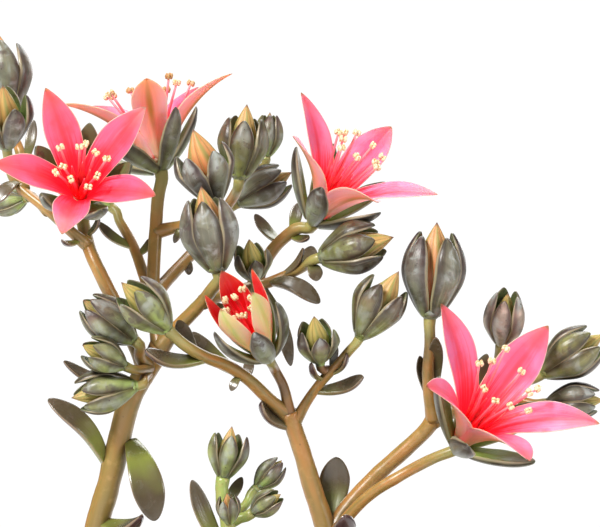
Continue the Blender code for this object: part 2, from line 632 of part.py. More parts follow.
def make_flower(name, target, work, random_source):
    _, _, petals, sepals, stamens = FLOWERS[name]
    axis, _, _ = flower_frame(name)
    base = flower_base(name)
    receptacle = disc(name + "_base", base, axis,
                      [(1.3 * MM, 0), (2.1 * MM, 0.8 * MM), (2.1 * MM, RECEPTACLE)], 8, target)
    start, end, length = sepals
    heading = calyx_axis(name)
    for outward in spread(name, 5, 0.5):
        outward = (outward - heading * outward.dot(heading)).normalized()
        root = base + heading * (0.8 * MM) + outward * SEPAL_RING
        angles = (start, end + random_source.uniform(-3, 3))
        bent_blade(name + "_sepal", root, heading, outward, angles, length * MM, SEPAL_STATIONS, work)
    join(name + "_calyx", receptacle, work, "calyx", target)

    floor = base + axis * (RECEPTACLE + GAP)
    petal_disc = disc(name + "_disc", floor, axis, [(1.9 * MM, 0), (1.9 * MM, PETAL_DISC)], 8, target)
    start, end, length = petals
    for k, outward in enumerate(spread(name, 5, 0.0)):
        root = floor + axis * ((0.4 + 0.06 * k) * MM) + outward * PETAL_RING
        bent_blade(name + "_petal", root, axis, outward, (start, end), length * MM, PETAL_STATIONS, work, False)
    join(name + "_petals", petal_disc, work, "petals", target)

    seat = floor + axis * (PETAL_DISC + GAP)
    heart = disc(name + "_seat", seat, axis, [(1.2 * MM, 0), (1.2 * MM, 0.7 * MM)], 8, target)
    lean, length = stamens
    for k, outward in enumerate(spread(name, 10, 0.25)):
        inside = k % 2 == 0
        root = seat + axis * (0.3 * MM) + outward * ((0.85 if inside else 1.05) * MM)
        add_stamen(name, root, axis, outward, lean * (0.88 if inside else 1.1),
                   length * (0.94 if inside else 1.0) * MM, work)
    rings = [[seat + axis * height + outward * radius for outward in spread(name, 5, 0.5)]
             for radius, height in CARPEL_PROFILE]
    loft(name + "_carpels", rings, seat + axis * CARPEL, work)
    join(name + "_centre", heart, work, "centre", target)


def add_stamen(name, root, axis, outward, lean, length, work):
    """A filament with its anther, as one slim body."""
    angle = math.radians(lean)
    along = axis * math.cos(angle) + outward * math.sin(angle)
    first, second = across(along)
    rings = []
    for share, radius in ((0.0, 0.4), (0.8, 0.33), (0.9, 0.75)):
        centre = root + along * (share * length)
        rings.append([centre + (first * math.cos(a) + second * math.sin(a)) * (radius * MM)
                      for a in (math.tau * k / 3 for k in range(3))])
    loft(name + "_stamen", rings, root + along * (length + 0.4 * MM), work)


def cone_radius(share):
    """Radius of the closed petals at a share of the bud's length."""
    rows = CONE_STATIONS
    if share <= rows[0][0]:
        return rows[0][1]
    for (low, small), (high, large) in zip(rows, rows[1:]):
        if share <= high:
            return small + (large - small) * (share - low) / (high - low)
    return rows[-1][1]


def make_cone(name, base, axis, length, girth, start, sides, collection):
    """The folded petals: a pointed body with five rounded ribs that wind a little."""
    first, second = across(axis)
    rings = []
    for share, radius in CONE_STATIONS:
        height = share * length if rings else start
        ring = []
        for k in range(sides):
            angle = math.tau * k / sides + 0.9 * share
            rib = 1.0 if sides < 10 or k % 2 == 0 else 0.86
            reach = radius * girth * length * rib
            ring.append(base + axis * height + (first * math.cos(angle) + second * math.sin(angle)) * reach)
        rings.append(ring)
    return loft(name, rings, base + axis * length, collection)


def make_bud(name, target, work, random_source):
    base_mark, tip_mark, turn, reach, splay, girth = BUDS[name]
    base, tip = spot(*base_mark), spot(*tip_mark)
    axis = (tip - base).normalized()
    length = (tip - base).length
    full = name in FULL_BUDS
    cup = 0.05 * length
    seat = disc(name + "_seat", base, axis, [(1.15 * MM, 0), (0.13 * length, cup)], 6, target)
    front = (TO_VIEWER - axis * TO_VIEWER.dot(axis)).normalized()
    right = axis.cross(front)
    spacing = 72.0 - 0.2 * PARTING.get(name, 0.0)
    for k, layer in enumerate(SEPAL_LAYERS):
        angle = math.radians(turn + spacing * k + 72 * random_source.uniform(-0.03, 0.03))
        outward = front * math.cos(angle) + right * math.sin(angle)
        side = axis.cross(outward).normalized()
        top = reach + random_source.uniform(-0.04, 0.04)
        share, distance, width = BUD_SEPAL_ROOT
        spine = [base + (axis * share + outward * distance) * length]
        inner = [-outward]
        sizes = [(width * length, 0.05 * length, 0.0)]
        for share, stand_off, width, thickness in BUD_SEPAL + [(top, BUD_SEPAL_TIP, 0.0, 0.0)]:
            lean = splay * ((share - 0.1) / (top - 0.1)) ** 1.5
            distance = (cone_radius(share) * girth + stand_off + lean + layer) * length + GAP
            spine.append(base + axis * (share * length) + outward * distance)
            inner.append(-outward)
            sizes.append((width * length, max(MIN_BLADE, thickness * length), 0.0))
        blade(name + "_sepal", spine, inner[:-1], side, sizes[:-1], work, keeled=True)
    if full:
        cone = make_cone(name + "_petals", base, axis, length, girth, cup + GAP, 10, target)
        finish(cone, "closed_petals", name + "_petals")
    else:
        make_cone(name + "_cone", base, axis, length, girth, 0.5 * cup, 5, work)
    join(name, seat, work, "calyx", target)


def build():
    clear_scene()
    target = new_collection("potted_graptopetalum")
    cutters = new_collection("cutters")
    work = new_collection("work")
    random_source = random.Random(11)
    make_pot(target)
    make_soil(target, cutters)
    for name, row in ROSETTES.items():
        make_rosette(name, row, target, work, random_source)
    for name in STALKS:
        make_stalk(name, target, work)
    for name in FLOWERS:
        make_flower(name, target, work, random_source)
    for name in BUDS:
        make_bud(name, target, work, random_source)
    bpy.data.collections.remove(work)


build()
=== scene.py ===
"""Looks of the potted graptopetalum: fine pieces, their materials, the light, the floor and the camera.

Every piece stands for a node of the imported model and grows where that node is. The places of blooms,
buds and branches are pixels of the 600 by 527 photograph with a depth in millimetres, as in the
model's own source, and spot() turns them into metres.
"""

import math
import random

import bmesh
import bpy
from mathutils import Matrix, Vector, noise


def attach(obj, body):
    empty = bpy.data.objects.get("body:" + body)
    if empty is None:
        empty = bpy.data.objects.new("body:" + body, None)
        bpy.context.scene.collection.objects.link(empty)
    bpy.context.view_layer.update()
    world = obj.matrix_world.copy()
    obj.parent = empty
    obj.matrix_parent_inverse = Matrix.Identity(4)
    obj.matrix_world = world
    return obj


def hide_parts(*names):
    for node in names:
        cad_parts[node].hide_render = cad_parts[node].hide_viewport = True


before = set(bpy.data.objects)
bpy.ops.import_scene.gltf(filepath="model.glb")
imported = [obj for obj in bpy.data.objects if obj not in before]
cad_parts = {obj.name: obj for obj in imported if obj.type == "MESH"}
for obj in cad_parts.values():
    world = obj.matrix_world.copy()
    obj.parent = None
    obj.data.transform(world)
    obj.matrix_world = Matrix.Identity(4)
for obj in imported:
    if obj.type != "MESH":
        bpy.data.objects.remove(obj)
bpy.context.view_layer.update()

MM = 0.001
GAP = 0.3 * MM
UP = Vector((0, 0, 1))
TO_VIEWER = Vector((0, -1, 0))
PARTS = 5                           # sepals, petals and carpels of every bloom and bud

# The photograph, seen level from the front through a long lens
PIXEL = 0.2 * MM
PHOTO_WIDTH = 600
PHOTO_MIDDLE = (300.0, 263.5)
POT_AXIS_PX = 297.0
MIDDLE_X = (PHOTO_MIDDLE[0] - POT_AXIS_PX) * PIXEL
MIDDLE_HEIGHT = 172.7 * MM
CAMERA_DISTANCE = 1.0
SENSOR = 36.0
LENS = SENSOR * CAMERA_DISTANCE / (PHOTO_WIDTH * PIXEL)
CLIPPING = (0.05, 20.0)

# Studio
FLOOR_RADIUS = 2.2
# The floor's own light: from and to a distance, then from and to a strength
FLOOR_GLOW = ((0.3, 0.8, 0.0, 0.34), (0.8, 2.0, 0.0, 0.4))
SURROUND_LIGHT = 0.13               # what the white surround lights the part with
SURROUND_SEEN = 1.05                # how bright it looks itself
AIM = Vector((0.0, 0.0, 0.15))
# Soft boxes: place, size, watts and colour
LAMPS = {
    "key_box": ((-0.55, -0.75, 0.85), (0.26, 0.26), 16.5, (1.0, 0.985, 0.96)),
    "fill_box": ((0.8, -0.6, 0.45), (0.35, 0.45), 3.8, (0.97, 0.985, 1.0)),
    "top_box": ((0.1, 0.25, 1.0), (0.5, 0.5), 7.0, (1.0, 1.0, 1.0)),
    "back_box": ((0.3, 0.95, 0.5), (0.6, 0.6), 4.0, (1.0, 1.0, 1.0)),
}

# Pot
RIM_RADIUS = 65.0 * MM
RIM_DEPTH = 20.0 * MM
RIM_THICKNESS = 6.0 * MM
RIM_BEVEL = 3.0 * MM
RIM_TAPER = 1.2 * MM
RIM_WEAR = 0.2 * MM                 # worn off where the rim stands out furthest
RIM_WEAR_DEPTH = 1.5 * MM
LIP_DROP = 1.5 * MM
LIP_FLARE = 1.6 * MM
POT_HEIGHT = 85.0 * MM
FOOT_RADIUS = 46.0 * MM
FOOT_BEVEL = 1.5 * MM
NECK_RADIUS = 60.5 * MM
WALL = 5.0 * MM
FLOOR = 7.0 * MM
DRAIN_RADIUS = 7.0 * MM
POT_FILLET = 1.3 * MM
POT_STEPS = 144
POT_FACE = 2.0 * MM                 # longest face up the pot's side
THROWING_RINGS = 0.10 * MM
HAND_SWELL = 0.18 * MM

# Soil and grit
SOIL_TOP = 76.5 * MM
SOIL_CROWN = 1.5 * MM
CROWN_RADIUS = 55 * MM
SOIL_RINGS = 60
SOIL_SIDES = 150
STONES = 1100
STONE_SIZES = (0.6, 0.8, 1.0, 1.3, 1.8)
BARE_ROUND_NECK = 5.2 * MM

# Rosettes
NECK_FOOT = SOIL_TOP - 3 * MM
NECK_STEM = 4.5 * MM
OFFSET_STEM = 2.4 * MM
RUNNER = 1.3 * MM
LEAF_ROOT = SOIL_TOP + 5.5 * MM
LOW_TILT = 84                       # degrees from upright of a rosette's lowest leaves
TILT_RANGE = 74                     # and how much steeper its innermost ones stand
LEAF_BEND = 16                      # degrees by which a leaf turns up along its length
STALK_ROOM = math.radians(33)
GOLDEN_ANGLE = math.radians(137.508)

# Rosette name: centre x and y, reach, number of leaves, turn, and the stalk that it bears
ROSETTES = {
    "rosette_left": (-35, 4, 22.0, 17, 20, "stalk_left"),
    "rosette_right": (6, 3, 21.0, 16, 75, "stalk_right"),
    "rosette_front": (-12, -36, 19.0, 15, 205, "stalk_young"),
    "rosette_side": (40, -12, 15.5, 13, 10, None),
    "rosette_back": (15, 41, 15.5, 13, 130, None),
}
OFFSETS = {
    "rosette_left": [(-44, -23, 9.5, 8, 40)],
    "rosette_side": [(43, 17, 11.0, 8, 80), (22, -40, 12.0, 9, 15)],
    "rosette_back": [(-16, 42, 11.5, 8, 0)],
}

# Stalks: each branch is named after what it carries, with its radius at root and end in millimetres
STALKS = {
    "stalk_left": {
        "main": (2.6, 2.2, [
            (79, 664, 8), (84, 630, 8), (90, 585, 7), (97, 527, 5), (108, 487, 4), (118, 445, 4),
            (128, 405, 3), (138, 384, 3), (150, 365, 2), (161, 348, 1)]),
        "flower_1": (1.5, 1.3, [
            (146, 370, 2), (133, 341, 0), (118, 309, -2), (101, 275, -2), (89, 248, 0), (83, 222, 4)]),
        "bud_02": (1.05, 0.95, [(88, 246, 0), (67, 228, -1), (45, 208, 0), (24, 191, 2), (12, 176, 3)]),
        "bud_01": (1.1, 1.0, [(23, 190, 2), (24, 170, 7), (18, 146, 10)]),
        "bud_03": (1.0, 0.9, [(48, 211, 0), (37, 201, 5)]),
        "flower_2": (1.4, 1.25, [
            (160, 350, 1), (155, 320, 3), (153, 290, 4), (154, 260, 5), (156, 225, 6), (158, 198, 6)]),
        "bud_04": (1.2, 1.0, [(156, 232, 6), (172, 228, 5), (190, 224, 2), (206, 218, -1)]),
        "bud_25": (1.3, 0.9, [
            (153, 300, 4), (144, 275, 8), (135, 250, 11), (127, 234, 13), (119, 220, 14)]),
        "bud_07": (1.3, 1.1, [
            (154, 295, 4), (170, 277, 8), (186, 260, 12), (203, 242, 17), (219, 222, 21)]),
        "bud_05": (1.1, 1.0, [(204, 241, 17), (222, 214, 15), (234, 196, 11)]),
        "bud_06": (0.9, 0.8, [(219, 221, 21), (240, 194, 27), (256, 173, 28)]),
        "bud_08": (1.5, 1.2, [
            (159, 350, 1), (174, 331, 0), (190, 315, -2), (204, 300, -4), (213, 288, -7)]),
        "bud_16": (1.25, 1.0, [
            (203, 302, -4), (222, 295, 0), (242, 289, 5), (262, 285, 7), (285, 276, 7), (303, 267, 5)]),
        "bud_09": (1.0, 0.9, [(236, 291, 4), (248, 290, 2)]),
        "flower_3": (1.3, 1.2, [(254, 287, 7), (262, 268, 9), (275, 247, 10), (296, 229, 9)]),
        "bud_10": (1.2, 1.1, [(149, 367, 1), (140, 357, -3)]),
        "bud_12": (1.0, 0.9, [(150, 367, 1), (139, 370, -5)]),
        "bud_13": (1.0, 0.9, [(148, 372, 2), (144, 380, -4)]),
    },
    "stalk_right": {
        "main": (2.6, 1.7, [
            (356, 664, 8), (350, 630, 8), (339, 585, 7), (325, 527, 6), (313, 490, 5), (303, 455, 4),
            (294, 428, 3), (289, 412, 2)]),
        "bud_11": (1.4, 1.1, [
            (291, 418, 3), (270, 400, 0), (249, 380, -3), (228, 366, -6), (205, 357, -9), (186, 346, -12)]),
        "flower_5": (1.05, 0.95, [(290, 416, 2), (284, 388, 1), (275, 370, 0)]),
        "bud_15": (1.05, 0.9, [
            (294, 424, 3), (308, 400, 1), (322, 381, -1), (338, 364, -3), (350, 350, -5)]),
        "bud_14": (0.8, 0.8, [(333, 370, -2), (326, 370, -2)]),
        "fork": (1.75, 1.5, [
            (330, 545, 6), (342, 515, 7), (372, 480, 7), (405, 450, 6), (425, 431, 5), (435, 417, 4)]),
        "bud_17": (1.3, 1.1, [(434, 420, 4), (430, 398, 2), (428, 372, 0), (430, 345, -2)]),
        "bud_18": (1.3, 1.0, [(432, 422, 4), (455, 411, 7), (475, 398, 9), (492, 380, 10), (498, 364, 10)]),
        "bud_19": (1.0, 1.0, [(480, 394, 9), (505, 388, 11), (525, 382, 10)]),
        "bud_20": (0.9, 0.9, [(500, 389, 11), (518, 399, 10), (532, 403, 9)]),
        "flower_4": (1.2, 1.1, [(328, 540, 6), (365, 499, 2), (400, 476, 0), (432, 459, 1)]),
    },
    "stalk_young": {
        "main": (2.2, 1.2, [
            (232, 664, -26), (232, 630, -27), (230, 585, -27), (228, 527, -26), (223, 505, -24),
            (222, 492, -24)]),
        "bud_24": (1.1, 0.9, [(226, 524, -25), (240, 518, -26)]),
        "bud_22": (0.9, 0.8, [(229, 522, -26), (246, 504, -22)]),
        "bud_23": (0.9, 0.8, [(228, 532, -26), (229, 531, -29)]),
    },
}
TOP_OF_YOUNG_STALK = "bud_21"
STEM_STEP = 0.9 * MM
STEM_SIDES = 18
STEM_BURIED = 6 * MM                # how far a stalk goes on below its first point
SEAT_BELOW = 1.5 * MM               # the last two points of a stem: below what it carries and inside it
SEAT_INSIDE = 0.4 * MM
ROOT_SWELLING = (0.28, 3.2)         # share of the radius and reach in millimetres
HEAD_SWELLING = (0.16, 1.6)
TRUNKS = ("main", "fork")
TRUNK_TONE = 0.6                    # how far trunks go along the stems' colours

# Bracts: root on the stem, tip, width in millimetres and, where it is unusual, the bow as a share of the
# length; their upper faces look up and to the viewer
BRACT_FACE = Vector((0, -0.7, 0.7))
LOW_BRACTS = 430                    # bracts rooted lower than this pixel row are olive, the others duskier
BRACTS = {
    "stalk_left": [
        ((107, 462, 4), (48, 399, 0), 4.6, 0.15), ((131, 440, 3), (155, 521, -5), 6.6),
        ((99, 520, 5), (140, 516, -9), 5.0), ((135, 386, 3), (64, 361, -2), 3.0),
        ((134, 247, 11), (98, 222, 10), 2.4), ((137, 255, 10), (152, 238, 9), 2.0),
        ((186, 226, 3), (174, 243, 3), 1.6), ((188, 258, 12), (189, 275, 11), 1.8),
        ((25, 162, 7), (34, 120, 11), 2.2), ((80, 240, -1), (62, 240, -6), 1.8),
        ((85, 236, 1), (98, 217, -2), 1.6), ((270, 280, 7), (320, 303, 3), 4.0),
        ((262, 285, 7), (291, 366, 7), 3.0), ((17, 182, 2), (-4, 203, -2), 3.0),
        ((278, 277, 7), (303, 248, 2), 1.9), ((290, 235, 9.3), (309, 237, 6), 2.2),
        ((292, 232, 9.2), (298, 203, 12), 2.6), ((281, 242, 9.7), (255, 214, 14), 2.6),
        ((312, 264, 3), (317, 281, 0), 3.0), ((305, 266, 4), (312, 246, 8), 3.2),
    ],
    "stalk_right": [
        ((205, 358, -9), (146, 350, -16), 4.0), ((196, 352, -10), (178, 320, -7), 3.2),
        ((238, 372, -5), (192, 332, -1), 3.6), ((293, 426, 3), (262, 402, -1.5), 4.2),
        ((316, 390, 0), (363, 376, -3), 3.4), ((330, 373, -2), (346, 354, -6), 2.4),
        ((325, 378, -1), (312, 363, -6), 2.4), ((329, 545, 6), (344, 515, -8), 6.0),
        ((329, 524, 6), (337, 457, 8), 6.2), ((432, 404, 3), (436, 338, -6), 3.0),
        ((431, 402, 3), (420, 356, 0), 2.2), ((246, 378, -3), (250, 358, 2), 2.2),
        ((240, 376, -4), (231, 391, -6), 1.8), ((331, 372, -2), (335, 343, -3), 1.8),
    ],
    "stalk_young": [
        ((229, 560, -27), (192, 480, -25), 3.6), ((223, 504, -24), (242, 477, -19), 2.4),
    ],
}

# Buds: base and tip, turn of the first sepal from the viewer's side in degrees, the sepals' reach and
# splay as shares of the bud's length, its girth beside the usual one, and how ripe the folded petals are
BUDS = {
    "bud_01": ((5, 118, 9), (-6, 28, 10), 20, 0.82, 0.03, 1.05, 0.8),
    "bud_02": ((7, 147, 0), (3, 85, -10), 30, 0.80, 0.08, 1.0, 0.4),
    "bud_03": ((26, 198, 9), (-9, 207, 13), 10, 0.90, 0.02, 1.0, 0.1),
    "bud_04": ((216, 203, -4), (193, 129, -8), 36, 0.68, 0.06, 1.19, 0.75),
    "bud_05": ((239, 179, 7.5), (247, 104, 6), 0, 0.79, 0.03, 1.02, 0.5),
    "bud_06": ((266, 157, 27), (270, 112, 26), 0, 0.92, 0.02, 1.0, 0.1),
    "bud_07": ((237, 203, 22), (292, 172, 20), 36, 0.86, 0.03, 1.0, 0.6),
    "bud_08": ((218, 272, -9), (201, 186, -13), -5, 0.84, 0.02, 1.04, 0.9),
    "bud_09": ((255, 280, 0), (249, 239, -6), 12, 0.72, 0.06, 1.13, 0.3),
    "bud_10": ((134, 341, -6), (83, 300, -10), 36, 0.93, 0.02, 1.0, 0.3),
    "bud_11": ((168, 330, -14), (121, 282, -19), 15, 0.84, 0.08, 1.0, 0.25),
    "bud_12": ((125, 366, -8), (82, 345, -13), 30, 0.88, 0.04, 1.0, 0.25),
    "bud_13": ((136, 386, -6), (71, 398, -9), 25, 0.90, 0.06, 1.0, 0.15),
    "bud_14": ((320, 362, -4), (314, 316, -11), 8, 0.74, 0.05, 1.1, 0.2),
    "bud_15": ((360, 337, -6), (399, 271, -9), -28, 0.80, 0.06, 1.05, 0.5),
    "bud_16": ((320, 258, 1), (394, 237, -3), -8, 0.80, 0.03, 1.05, 0.45),
    "bud_17": ((430, 318, -3), (437, 222, -5), 42, 0.86, 0.02, 1.08, 1.0),
    "bud_18": ((501, 345, 8), (508, 293, 2), -14, 0.97, 0.08, 1.0, 0.2),
    "bud_19": ((542, 374, 8), (604, 334, 5), 36, 0.86, 0.05, 1.0, 0.3),
    "bud_20": ((547, 403, 8), (604, 400, 6), 36, 0.90, 0.03, 1.0, 0.2),
    "bud_21": ((223, 479, -24), (232, 426, -25), 5, 0.84, 0.13, 1.0, 0.6),
    "bud_22": ((256, 488, -21), (282, 460, -20), 20, 0.93, 0.05, 1.0, 0.2),
    "bud_23": ((230, 524, -31), (227, 493, -34), 36, 0.88, 0.03, 1.0, 0.9),
    "bud_24": ((252, 513, -27), (281, 494, -30), -10, 0.92, 0.05, 1.0, 0.2),
    "bud_25": ((112, 208, 15), (84, 184, 18), 0, 0.92, 0.02, 1.0, 0.1),
}
YOUNG_BUDS = {"bud_" + number for number in "03 06 09 10 11 12 13 14 21 22 23 24 25".split()}
OLIVE_BUDS = {"bud_05", "bud_15", "bud_16", "bud_19"}
PALE_BUDS = {"bud_18"}
DUSKY_STEMS = {"flower_5", "bud_14", "bud_09"}
FULL_BUDS = {"bud_" + number for number in "01 02 04 05 08 15 16 17 19".split()}
RIPE, TURNING = 0.7, 0.35           # above these the folded petals are orange, or turning to it

# Blooms: foot of the petals; degrees turned right of the viewer, up, and rolled; angles from the axis at
# root and tip and the length in millimetres of the petals and of the sepals; lean and length of stamens
FLOWERS = {
    "flower_1": ((80, 197, 0), (3, 27, 31), (22, 67, 23.0), (50, 16, 16.3), (16, 13.5)),
    "flower_2": ((159, 162, 6), (-112, 79, 48), (27, 71, 22.7), (62, 42, 14.5), (28, 16.0)),
    "flower_3": ((318, 215, 6.4), (48, 49, 47), (22, 68, 24.2), (50, 31, 15.5), (15, 17.0)),
    "flower_4": ((462, 440, -1.2), (35, 39, 32), (22, 67, 27.9), (50, 35, 18.0), (17, 19.0)),
    "flower_5": ((264.5, 351, -6.2), (-30, 43, 87), (32, -6, 18.8), (50, 0, 14.6), (11, 12.5)),
}
HALF_OPEN = "flower_5"
FADING = "flower_2"                 # its anthers are tanned
# How far a calyx leans from its bloom's axis, to the right and up
CALYX_LEAN = {"flower_2": (-0.23, 0.0), "flower_4": (0.07, -0.09)}
RECEPTACLE = 1.6 * MM
PETAL_DISC = 1.0 * MM
PETAL_RING = 1.5 * MM
SEPAL_RING = 1.2 * MM
PETAL_RUFFLE = 0.03
CARPEL = 9.5 * MM
FILAMENT = (0.40, 0.18)             # radius at the root, and how much of it goes towards the tip
LOBE = (0.40, 0.34, 0.62)           # half-axes of an anther's four lobes, then their places from its middle
LOBE_PLACE = (0.42, 0.26, 0.1)
# Turned parts: radius and height in millimetres
CALYX_CUP = [(1.3, -0.2), (1.9, 0.5), (2.15, 1.1), (2.1, 1.6)]
PETAL_FOOT = [(1.5, 0.0), (1.8, 0.3), (1.9, 0.8), (1.4, 1.0)]
HEART_DISC = [(1.3, -0.3), (1.3, 0.4), (0.9, 0.8)]
# A carpel's share of length, then radius in millimetres
CARPEL_FORM = [(0, 0.5), (0.35, 0.95), (0.7, 0.45), (1, 0.16)]

# Blades: rows of share, width, thickness and edge lift, then the tip's reach and roundness
BLADE_STEPS = 32
TIP_CROWDING = 1.6
GROOVE_WIDTH = 0.15
KEEL_WIDTH = 0.14
ROOT_TONES = 0.12                   # turned parts take the colours of this first stretch of a blade
PETAL_FORM = ([(0.0, 0.12, 0.045, 0.10), (0.1, 0.165, 0.04, 0.20), (0.22, 0.228, 0.036, 0.22),
               (0.4, 0.285, 0.03, 0.16), (0.6, 0.32, 0.027, 0.11), (0.8, 0.30, 0.024, 0.08),
               (1.0, 0.25, 0.02, 0.06)], 0.42, 0.82)
SEPAL_FORM = ([(0.0, 0.17, 0.08, 0.0), (0.2, 0.25, 0.095, 0.05), (0.45, 0.32, 0.10, 0.10),
               (0.75, 0.29, 0.085, 0.08), (1.0, 0.20, 0.06, 0.04)], 0.34, 0.58)
LEAF_FORM = ([(0.0, 0.20, 0.12, 0.0), (0.3, 0.40, 0.15, 0.05), (0.62, 0.58, 0.15, 0.08),
              (0.84, 0.54, 0.12, 0.08), (1.0, 0.40, 0.08, 0.05)], 0.40, 0.66)
BRACT_FORM = ([(0.0, 0.42, 0.85, 0.0), (0.3, 0.78, 1.1, 0.08), (0.62, 1.0, 1.0, 0.07),
               (1.0, 0.85, 0.7, 0.05)], 0.32, 0.55)
BUD_FORM = ([(0.0, 0.10, 0.05, 0.0), (0.18, 0.215, 0.075, 0.08), (0.5, 0.325, 0.095, 0.13),
             (0.72, 0.305, 0.09, 0.11), (1.0, 0.21, 0.06, 0.05)], 0.34, 0.60)

# Closed petals of a bud: share of its length, then radius
CONE = [(0.0, 0.03), (0.06, 0.045), (0.2, 0.10), (0.34, 0.155), (0.5, 0.188), (0.74, 0.128), (0.88, 0.066),
        (1.0, 0.0)]
CONE_START = 0.06
CONE_STEPS = 30
CONE_SIDES = 10                     # for each of its petals
BUD_SEAT = [(0.095, 0.02), (0.125, 0.055), (0.11, 0.10)]      # radius and height as shares of the length
BUD_SEPAL_ROOT = (0.025, 0.055)
SEPAL_LAYERS = (0.0, 0.022, 0.004, 0.026, 0.013)
PARTING = {"bud_17": 29.0}          # degrees by which a bud's two front sepals stand further apart


def spot(px, py, depth):
    """The point in metres behind pixel px, py of the photograph, at a depth in millimetres."""
    spread_out = 1.0 + depth * MM / CAMERA_DISTANCE
    x = MIDDLE_X + (px - PHOTO_MIDDLE[0]) * PIXEL * spread_out
    z = MIDDLE_HEIGHT + (PHOTO_MIDDLE[1] - py) * PIXEL * spread_out
    return Vector((x, depth * MM, z))


def eased(rows, share, column=1):
    """A smooth value at a share, from rows whose first column is their share."""
    share = min(max(share, rows[0][0]), rows[-1][0])
    k = 0
    while k < len(rows) - 2 and share > rows[k + 1][0]:
        k += 1
    before, start, end, after = rows[max(0, k - 1)], rows[k], rows[k + 1], rows[min(len(rows) - 1, k + 2)]
    span = end[0] - start[0]
    t = (share - start[0]) / span
    rise = (end[column] - before[column]) / (end[0] - before[0]) * span
    fall = (after[column] - start[column]) / (after[0] - start[0]) * span
    square, cube = t * t, t ** 3
    return ((2 * cube - 3 * square + 1) * start[column] + (cube - 2 * square + t) * rise
            + (3 * square - 2 * cube) * end[column] + (cube - square) * fall)


def smooth_route(points, step):
    """Points about a step apart on the Catmull-Rom curve through the given ones."""
    ends = [2 * points[0] - points[1], *points, 2 * points[-1] - points[-2]]
    route = [points[0]]
    for before, start, end, after in zip(ends, ends[1:], ends[2:], ends[3:]):
        count = max(2, round((end - start).length / step))
        for k in range(1, count + 1):
            t = k / count
            bend = (2 * before - 5 * start + 4 * end - after) * t * t
            twist = (3 * start - before - 3 * end + after) * t ** 3
            route.append((2 * start + (end - before) * t + bend + twist) / 2)
    return route


def smooth_profile(rows, steps, scale=1.0):
    """Radius and height pairs along the smooth curve through a few of them."""
    places = [Vector((radius * scale, height * scale, 0)) for radius, height in rows]
    shortest = min((b - a).length for a, b in zip(places, places[1:]))
    return [(p.x, p.y) for p in smooth_route(places, shortest / steps)]


def across(direction):
    """Two unit vectors square to a direction."""
    helper = UP if abs(direction.z) < 0.9 else -TO_VIEWER
    side = direction.cross(helper).normalized()
    return side, side.cross(direction).normalized()


def turned(first, second, angle):
    """The first direction turned by an angle towards the second."""
    return first * math.cos(angle) + second * math.sin(angle)


def round_turn(sides):
    """The angles of even steps round a circle."""
    return [math.tau * k / sides for k in range(sides)]


def squared(vector, axis):
    """The part of a vector that is square to an axis, as a unit vector."""
    return (vector - axis * vector.dot(axis)).normalized()


def placed(name, data):
    """An object of some data, in the scene."""
    made = bpy.data.objects.new(name, data)
    bpy.context.scene.collection.objects.link(made)
    return made


PAINTED = ("along", "across", "face", "vary")


class Skin:
    """Points, faces and painted values of one piece, gathered part by part."""

    def __init__(self):
        self.points = []
        self.faces = []
        self.values = {name: [] for name in PAINTED}

    def add(self, point, *painted):
        """The number of a new point, with its painted values or zeros."""
        self.points.append(point)
        for name, value in zip(PAINTED, painted or (0.0,) * len(PAINTED)):
            self.values[name].append(value)
        return len(self.points) - 1

    def loft(self, rings, alongs, marks, vary, tip=None):
        """Rings of points with a value along each ring's place and marks round it, closed at both ends."""
        first = len(self.points)
        sides = len(rings[0])
        for ring, along in zip(rings, alongs):
            for point, (mark, face) in zip(ring, marks):
                self.add(point, along, mark, face, vary)
        for row in range(len(rings) - 1):
            low = first + row * sides
            for k in range(sides):
                after = (k + 1) % sides
                self.faces.append((low + k, low + after, low + sides + after, low + sides + k))
        self.faces.append(tuple(range(first, first + sides)))
        last = first + (len(rings) - 1) * sides
        if tip is None:
            self.faces.append(tuple(range(last, last + sides)))
            return
        point = self.add(tip, 1.0, 0.0, 0.5, vary)
        for k in range(sides):
            self.faces.append((last + k, last + (k + 1) % sides, point))

    def ball(self, centre, first, second, third, along, vary, rows, sides, lumps):
        """A closed rounded lump with three half-axes given as vectors."""
        rings = []
        for row in range(1, rows):
            tilt = math.pi * row / rows
            ring = []
            for turn in round_turn(sides):
                way = turned(first, second, turn) * math.sin(tilt) - third * math.cos(tilt)
                swell = 1.0 + lumps * noise.noise(way.normalized() * 1.7 + centre * 900)
                ring.append(centre + way * swell)
            rings.append(ring)
        bottom = self.add(centre - third, along, 0.0, 0.0, vary)
        start = len(self.points)
        self.loft(rings, [along] * len(rings), [(0.0, 0.0)] * sides, vary, centre + third)
        self.faces.remove(tuple(range(start, start + sides)))
        for k in range(sides):
            self.faces.append((start + (k + 1) % sides, start + k, bottom))

    def build(self, name, finish, nodes):
        """The piece as an object that rides on the body and stands for its nodes."""
        mesh = bpy.data.meshes.new(name)
        mesh.from_pydata(self.points, [], self.faces)
        for key, values in self.values.items():
            attribute = mesh.attributes.new(key, "FLOAT", "POINT")
            attribute.data.foreach_set("value", values)
        cage = bmesh.new()
        cage.from_mesh(mesh)
        bmesh.ops.recalc_face_normals(cage, faces=cage.faces)
        cage.to_mesh(mesh)
        cage.free()
        mesh.shade_smooth()
        mesh.materials.append(finish)
        made = placed(name, mesh)
        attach(made, "root")
        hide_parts(*nodes)


def section(half, upper, lower, fullness, groove, keel):
    """Places round a blade: share across, rise in thicknesses, and 1 on the upper face."""
    rows = []
    turns = [math.pi * k / half for k in range(half + 1)]
    for turn in turns:
        u = -math.cos(turn)
        rise = upper * math.sin(turn) ** fullness - groove * math.exp(-(u / GROOVE_WIDTH) ** 2)
        rows.append((u, rise, 1.0))
    for turn in reversed(turns[1:-1]):
        u = -math.cos(turn)
        drop = lower * math.sin(turn) ** fullness + keel * math.exp(-(u / KEEL_WIDTH) ** 2)
        rows.append((u, -drop, 0.0))
    return rows


